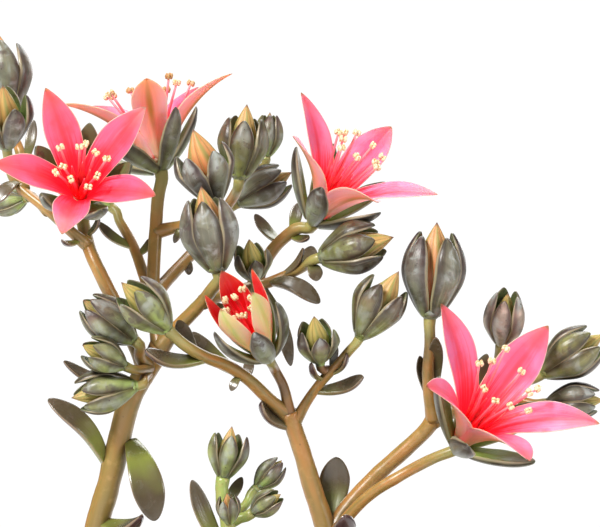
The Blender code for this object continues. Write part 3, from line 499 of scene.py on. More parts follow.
PETAL_SECTION = section(14, 0.28, 0.30, 0.5, 0.20, 0.45)
PLUMP_SECTION = section(10, 0.22, 0.92, 0.8, 0.0, 0.10)
LEAF_SECTION = section(12, 0.30, 0.80, 0.75, 0.06, 0.10)


def blade_shares():
    """Shares of a blade's length, closer together towards its tip."""
    return [1.0 - (1.0 - k / BLADE_STEPS) ** TIP_CROWDING for k in range(BLADE_STEPS)]


def add_blade(skin, form, profile, spine, inner, side, size, thick, vary, ruffle=0.0):
    """A blade along a spine that has one place for each share and the tip."""
    rows, reach, roundness = form
    rings = []
    shares = blade_shares()
    for share, centre, up in zip(shares, spine, inner):
        left = min(1.0, (1.0 - share) / reach)
        closing = (1.0 - (1.0 - left) ** 2) ** roundness
        width = eased(rows, share) * size * closing
        thickness = eased(rows, share, 2) * thick * closing ** 0.6
        lift = eased(rows, share, 3)
        wave = ruffle * math.sin(math.tau * (1.4 * share + vary)) * share
        ring = []
        for u, rise, _ in profile:
            bend = lift * abs(u) ** 1.7 + wave * u * abs(u)
            ring.append(centre + side * (u * width / 2) + up * (bend * width + rise * thickness))
        rings.append(ring)
    skin.loft(rings, shares, [(u, face) for u, _, face in profile], vary, spine[-1])


def bent_blade(skin, form, profile, root, axis, outward, angles, length, vary, curl=0.0, sway=0.0,
               ruffle=0.0):
    """A blade that starts at an angle from the axis and bends evenly to another one.

    curl turns its tip further out, in degrees, and sway carries it sideways, as a share of its length.
    """
    side = axis.cross(outward).normalized()
    start, end, curl = (math.radians(value) for value in (*angles, curl))
    shares = blade_shares() + [1.0]
    spine = [root]
    inner = []
    for share, after in zip(shares, shares[1:] + [1.0]):
        inner.append(turned(-outward, axis, start + (end - start) * share + curl * share ** 4))
        middle = (share + after) / 2
        angle = start + (end - start) * middle + curl * middle ** 4
        step = turned(axis, outward, angle) + side * (2 * sway * middle)
        spine.append(spine[-1] + step * ((after - share) * length))
    add_blade(skin, form, profile, spine[:len(shares)], inner, side, length, length, vary, ruffle)


def add_tube(skin, route, radii, sides, vary, shares=None, tip=False):
    """A stem swept along a route, its rings carried on without twist."""
    rings = []
    side, _ = across((route[1] - route[0]).normalized())
    for k, (point, radius) in enumerate(zip(route, radii)):
        ahead = (route[min(k + 1, len(route) - 1)] - route[max(k - 1, 0)]).normalized()
        side = squared(side, ahead)
        other = ahead.cross(side)
        rings.append([point + turned(side, other, turn) * radius for turn in round_turn(sides)])
    alongs = shares or [k / (len(route) - 1) for k in range(len(route))]
    marks = [(math.sin(turn), 0.0) for turn in round_turn(sides)]
    skin.loft(rings, alongs, marks, vary, route[-1] + (route[-1] - route[-2]) * 0.5 if tip else None)


def add_turned(skin, base, axis, profile, sides, vary):
    """A closed turned body along an axis, from radius and height pairs, coloured like a blade's root."""
    first, second = across(axis)
    rings = [[base + axis * height + turned(first, second, turn) * radius for turn in round_turn(sides)]
             for radius, height in profile]
    alongs = [ROOT_TONES * k / (len(rings) - 1) for k in range(len(rings))]
    skin.loft(rings, alongs, [(0.0, 0.0)] * sides, vary)


# Numbers of a mix node's sockets for colours, which share their names with other sockets of it
MIX_FACTOR, MIX_FIRST, MIX_SECOND, MIX_RESULT = 0, 6, 7, 2


class Paint:
    """A material, the colour laid on it so far, and short calls for the nodes that it is made of.

    A mask is a number, a node's output, or an output with the range that it is taken from and, unless it
    is 0 to 1, the range that it is taken to.
    """

    def __init__(self, name, roughness, specular):
        self.material = bpy.data.materials.new(name)
        self.material.use_nodes = True
        self.tree = self.material.node_tree
        self.shader = self.tree.nodes["Principled BSDF"].inputs
        self.put(self.shader, {"Roughness": roughness, "Specular IOR Level": specular})
        self.coordinates = self.node("TexCoord", "Object")
        self.along, self.across, self.face, self.vary = (
            self.node("Attribute", "Fac", attribute_name=painted) for painted in PAINTED)
        self.edge = self.maths("ABSOLUTE", self.across)
        self.colour = None

    def put(self, sockets, given):
        """Links outputs to inputs, or sets the inputs' constants, by the inputs' names or numbers."""
        for key, value in given.items():
            if isinstance(value, bpy.types.NodeSocket):
                self.tree.links.new(value, sockets[key])
            elif isinstance(value, tuple):
                sockets[key].default_value = (*value, 1.0)
            else:
                sockets[key].default_value = value

    def node(self, kind, output, given=None, **settings):
        """One output of a new node."""
        made = self.tree.nodes.new("ShaderNode" + kind)
        for key, value in settings.items():
            setattr(made, key, value)
        self.put(made.inputs, given or {})
        return made.outputs[output]

    def maths(self, operation, *masks):
        """A sum done on masks."""
        values = (self.remap(*mask) if isinstance(mask, tuple) else mask for mask in masks)
        return self.node("Math", "Value", dict(enumerate(values)), operation=operation)

    def remap(self, value, low, high, start=0.0, end=1.0):
        """A value taken from one range to another, eased and held at the ends."""
        given = {"Value": value, "From Min": low, "From Max": high, "To Min": start, "To Max": end}
        return self.node("MapRange", "Result", given, interpolation_type="SMOOTHSTEP")

    def times(self, first, *others):
        """Masks multiplied together."""
        result = self.remap(*first) if isinstance(first, tuple) else first
        for mask in others:
            result = self.maths("MULTIPLY", result, mask)
        return result

    def grain(self, scale, detail=2.0, distortion=0.0, vector=None):
        """Noise from 0 to 1 with a number of features to the metre."""
        given = {"Scale": scale, "Detail": detail, "Distortion": distortion,
                 "Vector": vector or self.coordinates}
        return self.node("TexNoise", "Fac", given)

    def streaks(self, wide, long, detail, distortion=0.0):
        """Noise drawn out along a blade or a stem."""
        given = {"X": self.times(self.across, wide), "Y": self.times(self.along, long),
                 "Z": self.times(self.vary, 37.0)}
        return self.grain(1.0, detail, distortion, self.node("CombineXYZ", "Vector", given))

    def shifted(self, scale, detail, amount):
        """The place along a blade, moved to and fro by noise."""
        noisy = self.maths("SUBTRACT", self.grain(scale, detail), 0.5)
        return self.maths("ADD", self.along, self.times(noisy, amount))

    def specks(self, scale, size):
        """1 in small round specks and 0 between them."""
        distance = self.node("TexVoronoi", "Distance", {"Scale": scale, "Vector": self.coordinates})
        return self.remap(distance, 0.5 * size, size, 1.0, 0.0)

    def mix(self, factor, first, second, blend="MIX"):
        """Two colours mixed by a factor."""
        given = {MIX_FACTOR: factor, MIX_FIRST: first, MIX_SECOND: second}
        return self.node("Mix", MIX_RESULT, given, data_type="RGBA", blend_type=blend, clamp_factor=True)

    def ramp(self, factor, *stops):
        """Colours by the place of a value, each stop a place and a colour."""
        fac = self.node("ValToRGB", "Color", {"Fac": factor})
        elements = fac.node.color_ramp.elements
        while len(elements) < len(stops):
            elements.new(0.5)
        for element, (place, *colour) in zip(elements, stops):
            element.position = place
            element.color = (*colour, 1.0)
        return fac

    def lay(self, tone, *masks, blend="MIX"):
        """Lays a tone over the colour so far, as strongly as the masks multiplied together say."""
        self.colour = self.mix(self.times(*masks), self.colour, tone, blend)

    def paint_fold_shade(self, folds, reach):
        """Paints shade into the colour: darkens it, as strongly as folds says, where ambient occlusion
        finds folds between pieces.
        """
        hollow = self.node("AmbientOcclusion", "AO", {"Distance": reach}, samples=6)
        self.lay((0.22, 0.19, 0.17), (hollow, 0.3, 0.95, folds, 0.0), blend="MULTIPLY")

    def bump(self, strength, distance, *masks):
        """Relief as high as the masks multiplied together, on top of the relief so far."""
        given = {"Strength": strength, "Distance": distance, "Height": self.times(*masks)}
        if self.shader["Normal"].is_linked:
            given["Normal"] = self.shader["Normal"].links[0].from_socket
        self.put(self.shader, {"Normal": self.node("Bump", "Normal", given)})

    def done(self, glow=0.0, depth=0.0, **inputs):
        """The material, with how far light goes into its flesh and the shader's other inputs."""
        given = {"Base Color": self.colour, "Subsurface Weight": glow, "Subsurface Scale": depth}
        given.update((key.replace("_", " ").title(), value) for key, value in inputs.items())
        self.put(self.shader, given)
        return self.material


def petal_finish(name, body, flank, back, back_flank, keel):
    """An open petal: red root and veins, pink flanks, a pale thin rim, a salmon back with a keel."""
    paint = Paint(name, 0.40, 0.35)
    along, edge = paint.along, paint.edge
    veins = paint.streaks(13.0, 1.1, 2.0, 0.4)
    streaks = paint.streaks(5.0, 2.6, 3.0)
    cloud = paint.grain(190.0, 3.0)
    broad = paint.remap(along, 0.95, 0.72)
    throat = paint.remap(paint.maths("ADD", along, (veins, 0.35, 0.65, 0.09, -0.09)), 0.52, 0.24)

    paint.colour = body
    paint.lay(flank, paint.maths("ADD", (edge, 0.15, 0.8), (cloud, 0.35, 0.65, -0.45, 0.45)))
    paint.lay((0.93, 0.045, 0.10), (veins, 0.5, 0.72, 0.0, 0.36), broad)
    paint.lay((0.98, 0.34, 0.52), (streaks, 0.55, 0.8, 0.0, 0.24), broad)
    paint.lay((0.94, 0.045, 0.06), (edge, 0.02, 0.20, 1.0, 0.0), (along, 0.98, 0.6), 0.6)
    paint.lay((0.93, 0.09, 0.08), (along, 0.68, 0.97), (cloud, 0.3, 0.6, 0.55, 1.0), 0.7)
    paint.lay((0.98, 0.012, 0.028), throat)
    upper = paint.colour

    paint.colour = back
    paint.lay(back_flank, (edge, 0.2, 0.85))
    paint.lay(back_flank, (veins, 0.48, 0.7, 0.0, 0.4), broad)
    paint.lay((0.92, 0.42, 0.24), (streaks, 0.5, 0.8, 0.0, 0.3), broad)
    paint.lay(keel, (edge, 0.04, 0.30, 1.0, 0.0), (along, 0.15, 0.55))
    paint.lay(paint.mix(0.45, keel, back), (along, 0.5, 0.98, 0.0, 0.8), (cloud, 0.3, 0.6, 0.6, 1.0))
    paint.lay((0.66, 0.52, 0.30), (along, 0.34, 0.05, 0.0, 0.5))

    paint.lay(upper, paint.face)
    paint.lay((1.0, 0.55, 0.42), (edge, 0.93, 0.985), (along, 0.1, 0.3), 0.7)
    paint.lay((0.25, 0.07, 0.045), (along, 0.95, 0.99))
    paint.bump(0.35, 0.0003, veins, broad)
    paint.bump(0.2, 0.0002, streaks, broad)
    # painted light: the throat's upper face glows red, as if lit through the thin petals
    return paint.done(0.55, 0.0035, emission_color=(1.0, 0.02, 0.05),
                      emission_strength=paint.times(throat, 0.36, paint.face))


def sepal_finish(name, root, low, middle, high, tip, olive, waxy):
    """Fleshy sepals in five tones from root to tip, mottled, with a waxy bloom and a pale thin edge."""
    paint = Paint(name, 0.42, 0.5)
    along, face, edge = paint.along, paint.face, paint.edge
    place = paint.shifted(190.0, 3.0, 0.7)
    inner = paint.ramp(place, (0.0, 0.24, 0.38, 0.06), (0.5, 0.19, 0.28, 0.07), (0.95, 0.12, 0.13, 0.06))
    # waxy bloom, and also a painted highlight: laid fully along the middle of each sepal and only faintly
    # at its sides
    bloom = paint.times((paint.grain(330.0, 5.0, 0.5), 0.47, 0.66), waxy, (edge, 0.35, 0.9, 1.0, 0.12))

    paint.colour = paint.ramp(place, (0.0, *root), (0.2, *low), (0.48, *middle), (0.76, *high),
                              (0.96, *tip))
    paint.lay(olive, (paint.vary, 0.2, 1.0, 0.0, 0.5))
    paint.lay((0.075, 0.066, 0.042), (paint.grain(230.0, 3.0, 0.8), 0.36, 0.64), 0.62)
    # painted shade: each sepal darkens towards its side edges, so that it looks rounded
    paint.lay((0.36, 0.28, 0.28), (edge, 0.38, 0.90), blend="MULTIPLY")
    paint.lay((0.38, 0.40, 0.38), bloom)
    paint.lay(inner, face)
    paint.lay((0.40, 0.36, 0.25), (paint.streaks(9.0, 1.4, 3.0), 0.55, 0.75), (along, 0.95, 0.75), 0.3)
    paint.lay((0.06, 0.028, 0.026), (paint.grain(420.0, 4.0), 0.58, 0.68, 0.0, 0.65), (along, 0.15, 0.75))
    paint.lay((0.05, 0.02, 0.02), paint.specks(950.0, 0.2), (paint.grain(260.0), 0.50, 0.64), 0.75)
    # painted shade in the folds between pieces, stronger on the sepals' outer faces
    paint.paint_fold_shade(paint.remap(face, 0.0, 1.0, 1.0, 0.2), 0.008)
    paint.lay((0.50, 0.38, 0.27), (edge, 0.94, 0.985), (along, 1.0, 0.85), 0.6)
    paint.bump(0.25, 0.0002, paint.grain(1500.0, 4.0))
    paint.bump(0.35, 0.0003, paint.streaks(6.0, 1.2, 2.0), (along, 0.98, 0.8))
    return paint.done(0.08, 0.001, roughness=paint.remap(bloom, 0.0, 0.45, 0.38, 0.6),
                      coat_weight=0.2, coat_roughness=0.3)


def folded_finish(name, ripe):
    """The folded petals of a bud, yellow-green at first and orange when ripe, with green midlines."""
    paint = Paint(name, 0.42, 0.45)
    edge = paint.edge
    place = paint.shifted(300.0, 2.0, 0.4)
    streaks = paint.streaks(6.0, 1.5, 3.0)
    paint.colour = paint.ramp(place, (0.0, 0.22, 0.27, 0.05), (0.5, 0.34, 0.36, 0.07),
                              (0.85, 0.50, 0.38, 0.10), (1.0, 0.40, 0.20, 0.08))
    paint.lay(paint.ramp(place, (0.0, 0.70, 0.13, 0.04), (0.45, 0.74, 0.20, 0.07),
                         (0.75, 0.70, 0.30, 0.11), (1.0, 0.52, 0.24, 0.09)), ripe)
    pale = paint.mix(ripe, (0.52, 0.50, 0.20), (0.66, 0.40, 0.17))
    seam = paint.mix(ripe, (0.24, 0.20, 0.05), (0.50, 0.13, 0.035))
    paint.lay(pale, (streaks, 0.45, 0.75, 0.0, 0.5))
    paint.lay((0.27, 0.27, 0.07), (edge, 0.05, 0.5, 0.8, 0.0))
    paint.lay(seam, (edge, 0.80, 0.97, 0.0, 0.8))
    # painted shade in the folds between the bud's pieces
    paint.paint_fold_shade(0.3, 0.003)
    paint.lay((0.15, 0.07, 0.04), (paint.along, 0.94, 0.99))
    paint.bump(0.3, 0.0002, streaks)
    return paint.done(0.12, 0.0015)


def stem_finish(name, olive):
    """Stems: ochre with orange and olive streaks, green close to what they carry; olive tells how green."""
    paint = Paint(name, 0.36, 0.5)
    patches = paint.grain(130.0, 3.0)
    paint.colour = paint.ramp(paint.remap(paint.streaks(1.8, 5.0, 3.0), 0.3, 0.7), (0.0, 0.28, 0.18, 0.05),
                              (0.45, 0.42, 0.22, 0.056), (1.0, 0.50, 0.205, 0.052))
    paint.lay((0.26, 0.21, 0.05), min(1.0, 2 * olive))
    paint.lay((0.36, 0.46, 0.12), max(0.0, 2 * olive - 1))
    paint.lay((0.24, 0.20, 0.05), (patches, 0.5, 0.75, 0.0, 0.6))
    paint.lay((0.60, 0.37, 0.14), (paint.grain(600.0, 3.0), 0.5, 0.8, 0.0, 0.4))
    paint.lay((0.22, 0.105, 0.06), (paint.vary, 0.72, 0.86), (patches, 0.35, 0.6, 0.3, 0.8))
    paint.lay((0.37, 0.36, 0.115), (paint.along, 0.66, 0.97), 0.8)
    paint.lay((0.22, 0.145, 0.045), (paint.along, 0.3, 0.0, 0.0, 0.3))
    paint.lay((0.16, 0.07, 0.03), paint.specks(800.0, 0.22), (paint.grain(240.0), 0.5, 0.65), 0.5)
    # painted shade where the stems run close to other pieces
    paint.paint_fold_shade(0.7, 0.005)
    paint.bump(0.25, 0.0002, paint.grain(400.0))
    return paint.done(0.1, 0.0015, coat_weight=0.3, coat_roughness=0.3)


def bract_finish(name):
    """Stem leaves: olive or purple-brown, each its own mix, glossy, with a waxy bloom and a pale edge."""
    paint = Paint(name, 0.30, 0.55)
    vary = paint.vary
    place = paint.shifted(150.0, 2.0, 0.6)
    bloom = paint.times((paint.grain(300.0, 4.0), 0.46, 0.72), (vary, 0.3, 0.6, 0.4, 0.12))
    paint.colour = paint.ramp(place, (0.0, 0.22, 0.19, 0.08), (0.3, 0.15, 0.10, 0.075),
                              (0.6, 0.13, 0.075, 0.065), (0.95, 0.07, 0.032, 0.032))
    paint.lay(paint.ramp(place, (0.0, 0.34, 0.37, 0.07), (0.28, 0.21, 0.23, 0.045),
                         (0.5, 0.15, 0.13, 0.045), (0.72, 0.075, 0.036, 0.034)), (vary, 0.3, 0.6))
    paint.lay((0.31, 0.27, 0.25), bloom)
    paint.lay((0.13, 0.15, 0.04), paint.face, 0.25)
    paint.lay((0.52, 0.44, 0.19), (vary, 0.96, 1.0))
    # painted shade where the bracts meet their stems and other pieces
    paint.paint_fold_shade(0.8, 0.004)
    paint.lay((0.42, 0.28, 0.16), (paint.edge, 0.93, 0.995, 0.0, 0.5))
    paint.bump(0.12, 0.0003, paint.streaks(5.0, 1.5, 2.0), (paint.along, 0.95, 0.75))
    return paint.done(0.06, 0.001, roughness=paint.remap(bloom, 0.0, 0.5, 0.26, 0.45),
                      coat_weight=0.5, coat_roughness=0.22)


def leaf_finish(name):
    """Rosette leaves: grey-green under a waxy bloom, bronze towards the tips and edges."""
    paint = Paint(name, 0.55, 0.35)
    bloom = paint.remap(paint.grain(260.0, 4.0), 0.4, 0.7, 0.0, 0.6)
    paint.colour = paint.ramp(paint.shifted(90.0, 3.0, 0.5), (0.0, 0.20, 0.27, 0.11),
                              (0.4, 0.22, 0.25, 0.15), (0.72, 0.25, 0.21, 0.14), (0.95, 0.27, 0.13, 0.09))
    paint.lay((0.20, 0.17, 0.10), (paint.vary, 0.2, 1.0, 0.0, 0.35))
    paint.lay((0.40, 0.42, 0.36), bloom)
    paint.lay((0.33, 0.15, 0.10), (paint.edge, 0.86, 0.99, 0.0, 0.6))
    paint.lay((0.07, 0.035, 0.025), paint.specks(700.0, 0.2), (paint.grain(200.0), 0.52, 0.64), 0.7)
    paint.bump(0.25, 0.0003, paint.grain(900.0, 4.0))
    return paint.done(0.06, 0.0015, roughness=paint.remap(bloom, 0.0, 0.6, 0.45, 0.7))


def centre_finish(name, upper, end):
    """The heart of a bloom: vivid red, its filaments in two other tones further up."""
    paint = Paint(name, 0.38, 0.45)
    paint.colour = paint.ramp(paint.along, (0.0, 0.82, 0.012, 0.020), (0.4, 0.86, 0.035, 0.06),
                              (0.75, *upper), (1.0, *end))
    paint.lay((0.95, 0.20, 0.12), (paint.grain(700.0), 0.4, 0.7, 0.0, 0.3))
    paint.bump(0.2, 0.0002, paint.grain(1500.0))
    return paint.done(0.15, 0.001)


def anther_finish(name):
    """Anthers: cream with tan seams, dusted with pollen."""
    paint = Paint(name, 0.8, 0.2)
    dust = paint.grain(2600.0, 3.0)
    paint.colour = paint.ramp(dust, (0.3, 0.50, 0.24, 0.08), (0.46, 0.86, 0.66, 0.36),
                              (0.62, 0.96, 0.87, 0.66))
    paint.lay((0.45, 0.22, 0.06), (paint.vary, 0.5, 1.0, 0.0, 0.8))
    paint.bump(0.6, 0.0003, dust)
    return paint.done(0.1, 0.001)


def pot_finish(name):
    """Terracotta: warm clay with fine sand, darker damp patches and pale lime near the foot and rim."""
    paint = Paint(name, 0.85, 0.25)
    height = paint.along
    blotches = paint.grain(38.0, 6.0, 1.2)
    low = paint.times((height, 0.42, 0.0), (blotches, 0.46, 0.66))
    high = paint.times((height, 0.7, 0.78), (blotches, 0.56, 0.72, 0.0, 0.6))
    paint.colour = paint.ramp(paint.grain(45.0, 5.0, 0.6), (0.3, 0.40, 0.155, 0.075),
                              (0.5, 0.50, 0.205, 0.10), (0.72, 0.58, 0.27, 0.15))
    paint.lay((0.66, 0.36, 0.22), (paint.grain(1400.0, 3.0), 0.45, 0.75, 0.0, 0.45))
    paint.lay((0.23, 0.09, 0.05), paint.specks(1100.0, 0.22), 0.35)
    paint.lay((0.74, 0.62, 0.52), paint.maths("ADD", paint.times(low, 0.75), paint.times(high, 0.5)))
    paint.bump(0.35, 0.0004, paint.grain(900.0, 5.0))
    paint.bump(0.25, 0.001, paint.grain(120.0, 3.0))
    return paint.done()


def soil_finish(name):
    """Damp potting soil, nearly black, with lighter crumbs."""
    paint = Paint(name, 0.95, 0.15)
    crumbs = paint.grain(700.0, 5.0)
    paint.colour = paint.ramp(crumbs, (0.3, 0.018, 0.011, 0.007), (0.5, 0.055, 0.034, 0.021),
                              (0.7, 0.12, 0.075, 0.045))
    paint.bump(0.9, 0.0015, crumbs)
    return paint.done()


def stone_finish(name):
    """Grit on the soil: pale pumice, brown bark and grey stone, by the value painted on each."""
    paint = Paint(name, 0.9, 0.25)
    pores = paint.grain(1600.0, 4.0)
    paint.colour = paint.ramp(paint.vary, (0.0, 0.045, 0.026, 0.016), (0.35, 0.10, 0.055, 0.03),
                              (0.55, 0.24, 0.17, 0.11), (0.75, 0.42, 0.36, 0.28), (1.0, 0.62, 0.57, 0.48))
    paint.lay((0.09, 0.06, 0.04), (pores, 0.35, 0.6, 0.45, 0.0))
    paint.bump(0.8, 0.0006, pores)
    return paint.done()


def floor_finish(name):
    """The pale studio floor, with a barely visible grain, lit from within where the lamps don't reach."""
    paint = Paint(name, 0.6, 0.3)
    away = paint.node("VectorMath", "Value", {0: paint.coordinates}, operation="LENGTH")
    paint.colour = (0.82, 0.82, 0.81)
    paint.lay((0.86, 0.86, 0.855), (paint.grain(9.0, 4.0), 0.3, 0.7))
    glow = paint.maths("ADD", *((away, *stretch) for stretch in FLOOR_GLOW))
    return paint.done(emission_color=(1.0, 1.0, 1.0), emission_strength=glow)


# Sepal tones from root to tip, the olive that some turn to, and how waxy they are
SEPAL_GREY = sepal_finish(
    "sepal_taupe", (0.27, 0.33, 0.12), (0.23, 0.26, 0.155), (0.225, 0.225, 0.18), (0.20, 0.16, 0.145),
    (0.06, 0.034, 0.032), (0.20, 0.21, 0.10), 0.8)
SEPAL_OPEN = sepal_finish(
    "sepal_open", (0.40, 0.52, 0.19), (0.32, 0.39, 0.18), (0.25, 0.28, 0.17), (0.19, 0.18, 0.13),
    (0.07, 0.045, 0.038), (0.21, 0.25, 0.10), 0.8)
SEPAL_OLIVE = sepal_finish(
    "sepal_olive", (0.30, 0.36, 0.085), (0.27, 0.30, 0.09), (0.21, 0.20, 0.085), (0.17, 0.115, 0.07),
    (0.05, 0.03, 0.022), (0.25, 0.27, 0.07), 0.4)
SEPAL_YOUNG = sepal_finish(
    "sepal_young", (0.44, 0.60, 0.17), (0.38, 0.48, 0.15), (0.30, 0.32, 0.14), (0.21, 0.15, 0.11),
    (0.11, 0.055, 0.05), (0.36, 0.44, 0.12), 0.55)
SEPAL_PALE = sepal_finish(
    "sepal_pale", (0.46, 0.50, 0.22), (0.54, 0.48, 0.32), (0.68, 0.54, 0.45), (0.60, 0.45, 0.37),
    (0.22, 0.13, 0.10), (0.60, 0.49, 0.38), 0.8)
FOLDED_GREEN = folded_finish("folded_petal_young", 0.12)
FOLDED_MIXED = folded_finish("folded_petal_turning", 0.5)
FOLDED_RIPE = folded_finish("folded_petal_ripe", 0.9)
STEMS = {
    "stalk_left": stem_finish("stem_ochre", 0.12),
    "stalk_right": stem_finish("stem_orange", 0.05),
    "stalk_young": stem_finish("stem_young", 0.9),
}
BRACT = bract_finish("bract_flesh")
LEAF = leaf_finish("leaf_flesh")
CENTRE = centre_finish("heart_open", (0.92, 0.17, 0.24), (0.96, 0.42, 0.46))
CENTRE_HALF = centre_finish("heart_half_open", (0.82, 0.03, 0.04), (0.84, 0.10, 0.08))
ANTHER = anther_finish("anther_dust")
BACK = ((0.90, 0.34, 0.26), (0.98, 0.45, 0.52), (0.36, 0.24, 0.06))
PETALS = {
    "flower_1": petal_finish("petal_coral", (0.94, 0.065, 0.11), (0.94, 0.12, 0.24), *BACK),
    "flower_2": petal_finish("petal_rose", (0.96, 0.13, 0.26), (0.97, 0.23, 0.40), *BACK),
    "flower_4": petal_finish("petal_pink", (0.96, 0.11, 0.22), (0.97, 0.20, 0.38), *BACK),
    "flower_5": petal_finish("petal_red", (0.80, 0.010, 0.014), (0.84, 0.02, 0.025), (0.68, 0.60, 0.28),
                             (0.88, 0.50, 0.36), (0.46, 0.52, 0.17)),
}
PETALS["flower_3"] = PETALS["flower_2"]


def filleted(profile, radius, steps=5):
    """A profile with every corner rounded to a radius."""
    places = [Vector(corner) for corner in profile]
    rounded = []
    for k, corner in enumerate(places):
        back, ahead = places[k - 1] - corner, places[(k + 1) % len(places)] - corner
        reach = min(radius, 0.45 * back.length, 0.45 * ahead.length)
        start, end = corner + back.normalized() * reach, corner + ahead.normalized() * reach
        for step in range(steps + 1):
            t = step / steps
            rounded.append(start * (1 - t) ** 2 + corner * (2 * t * (1 - t)) + end * t * t)
    return rounded


def inner_radius(height):
    """Radius of the pot's inside wall at a height."""
    share = (height - FLOOR) / (POT_HEIGHT - FLOOR)
    low = FOOT_RADIUS - WALL
    return low + (RIM_RADIUS - RIM_THICKNESS - low) * share


def make_pot():
    """The pot: a turned body with a heavy rim, soft throwing rings and a drain hole."""
    band = POT_HEIGHT - RIM_DEPTH
    inside = POT_HEIGHT - LIP_DROP
    corners = [(RIM_RADIUS - RIM_BEVEL, POT_HEIGHT), (RIM_RADIUS, POT_HEIGHT - RIM_BEVEL),
               (RIM_RADIUS - RIM_TAPER, band), (NECK_RADIUS, band - MM), (FOOT_RADIUS, FOOT_BEVEL),
               (FOOT_RADIUS - FOOT_BEVEL, 0.0), (DRAIN_RADIUS, 0.0), (DRAIN_RADIUS, FLOOR),
               (FOOT_RADIUS - WALL, FLOOR), (inner_radius(inside), inside),
               (inner_radius(inside) + LIP_FLARE, POT_HEIGHT)]
    profile = []
    rounded = filleted(corners, POT_FILLET)
    for start, end in zip(rounded, rounded[1:] + rounded[:1]):
        pieces = max(1, round((end - start).length / POT_FACE))
        profile += [start.lerp(end, k / pieces) for k in range(pieces)]
    skin = Skin()
    rows = len(profile)
    for turn in round_turn(POT_STEPS):
        way = Vector((math.cos(turn), math.sin(turn), 0))
        for radius, height in profile:
            under = radius < FOOT_RADIUS - 2 * MM and height < 0.5 * MM or radius <= DRAIN_RADIUS + MM
            uneven = 0.0
            if not under and radius >= inner_radius(height) + 0.5 * MM:
                wobble = THROWING_RINGS * math.sin(height / MM * 1.9 + 0.6 * math.sin(turn * 2))
                uneven = wobble + HAND_SWELL * noise.noise(way * 1.6 + UP * (height * 30))
            worn = RIM_WEAR * (radius > RIM_RADIUS - RIM_WEAR_DEPTH)
            skin.add(way * (radius - worn + uneven) + UP * height, height / POT_HEIGHT, 0.0, 0.0, 0.0)
    for k in range(POT_STEPS):
        this, after = k * rows, (k + 1) % POT_STEPS * rows
        for row in range(rows):
            below = (row + 1) % rows
            skin.faces.append((this + row, this + below, after + below, after + row))
    skin.build("terracotta_pot", pot_finish("terracotta"), ["pot"])


def soil_height(x, y):
    """Height of the crumbly soil at a place."""
    crown = SOIL_CROWN * max(0.0, 1.0 - math.hypot(x, y) / CROWN_RADIUS)
    place = Vector((x, y, 0))
    return SOIL_TOP + crown + 0.9 * MM * noise.noise(place * 160) + 0.5 * MM * noise.noise(place * 520)


def make_soil():
    """A crumbly surface that fills the pot, with grit strewn over it."""
    skin = Skin()
    edge = inner_radius(SOIL_TOP) - GAP
    heart = skin.add(Vector((0, 0, soil_height(0, 0))))
    for row in range(1, SOIL_RINGS + 1):
        radius = edge * row / SOIL_RINGS
        for turn in round_turn(SOIL_SIDES):
            x, y = radius * math.cos(turn), radius * math.sin(turn)
            skin.add(Vector((x, y, soil_height(x, y))))
    low = FLOOR + GAP
    low_radius = inner_radius(low) - GAP
    for turn in round_turn(SOIL_SIDES):
        skin.add(Vector((low_radius * math.cos(turn), low_radius * math.sin(turn), low)))
    for k in range(SOIL_SIDES):
        after = (k + 1) % SOIL_SIDES
        skin.faces.append((heart, 1 + k, 1 + after))
        for row in range(SOIL_RINGS):
            near = 1 + row * SOIL_SIDES
            far = near + SOIL_SIDES
            skin.faces.append((near + k, far + k, far + after, near + after))
    bottom = 1 + SOIL_RINGS * SOIL_SIDES
    skin.faces.append(tuple(range(bottom, bottom + SOIL_SIDES)))
    skin.build("potting_soil", soil_finish("damp_soil"), ["soil"])

    stones = Skin()
    chance = random.Random(29)
    necks = [(x * MM, y * MM) for x, y, *_ in ROSETTES.values()]
    strewn = 0
    while strewn < STONES:
        distance = (edge - 1.5 * MM) * math.sqrt(chance.random())
        turn = chance.uniform(0, math.tau)
        x, y = distance * math.cos(turn), distance * math.sin(turn)
        if any(math.hypot(x - a, y - b) < BARE_ROUND_NECK for a, b in necks):
            continue
        size = chance.choice(STONE_SIZES) * MM
        angle = chance.uniform(0, math.tau)
        spin = Matrix.Rotation(angle, 3, Vector((chance.random(), chance.random(), 0.4)))
        axes = [spin @ (way * size * chance.uniform(0.6, 1.15)) for way in Matrix.Identity(3)]
        centre = Vector((x, y, soil_height(x, y) + 0.25 * size))
        stones.ball(centre, *axes, 0.0, chance.random() ** 1.4, rows=5, sides=7, lumps=0.55)
        strewn += 1
    stones.build("soil_grit", stone_finish("grit"), ["soil"])


def make_rosette(name, row, draw, chance):
    """A rosette, its offsets on their runners, and room for the stalk that it bears."""
    x, y, reach, leaves, turn, stalk = row
    skin = Skin()
    free_angle = None
    if stalk:
        foot = spot(*STALKS[stalk]["main"][2][0])
        free_angle = math.atan2(foot.y - y * MM, foot.x - x * MM)
    start = add_plant(skin, x, y, reach, leaves, turn, NECK_STEM, free_angle, draw, chance)
    for offset in OFFSETS.get(name, []):
        end = add_plant(skin, *offset, OFFSET_STEM, None, draw, chance)
        height = UP * (SOIL_TOP + SOIL_CROWN + GAP + RUNNER)
        ends = [start + height, end + height]
        route = smooth_route([ends[0], ends[0].lerp(ends[1], 0.5), ends[1]], 1.0 * MM)
        radii = [RUNNER * (1 + 0.12 * noise.noise(point * 300)) for point in route]
        add_tube(skin, route, radii, 12, chance.random())
    skin.build(name + "_leaves", LEAF, [name])


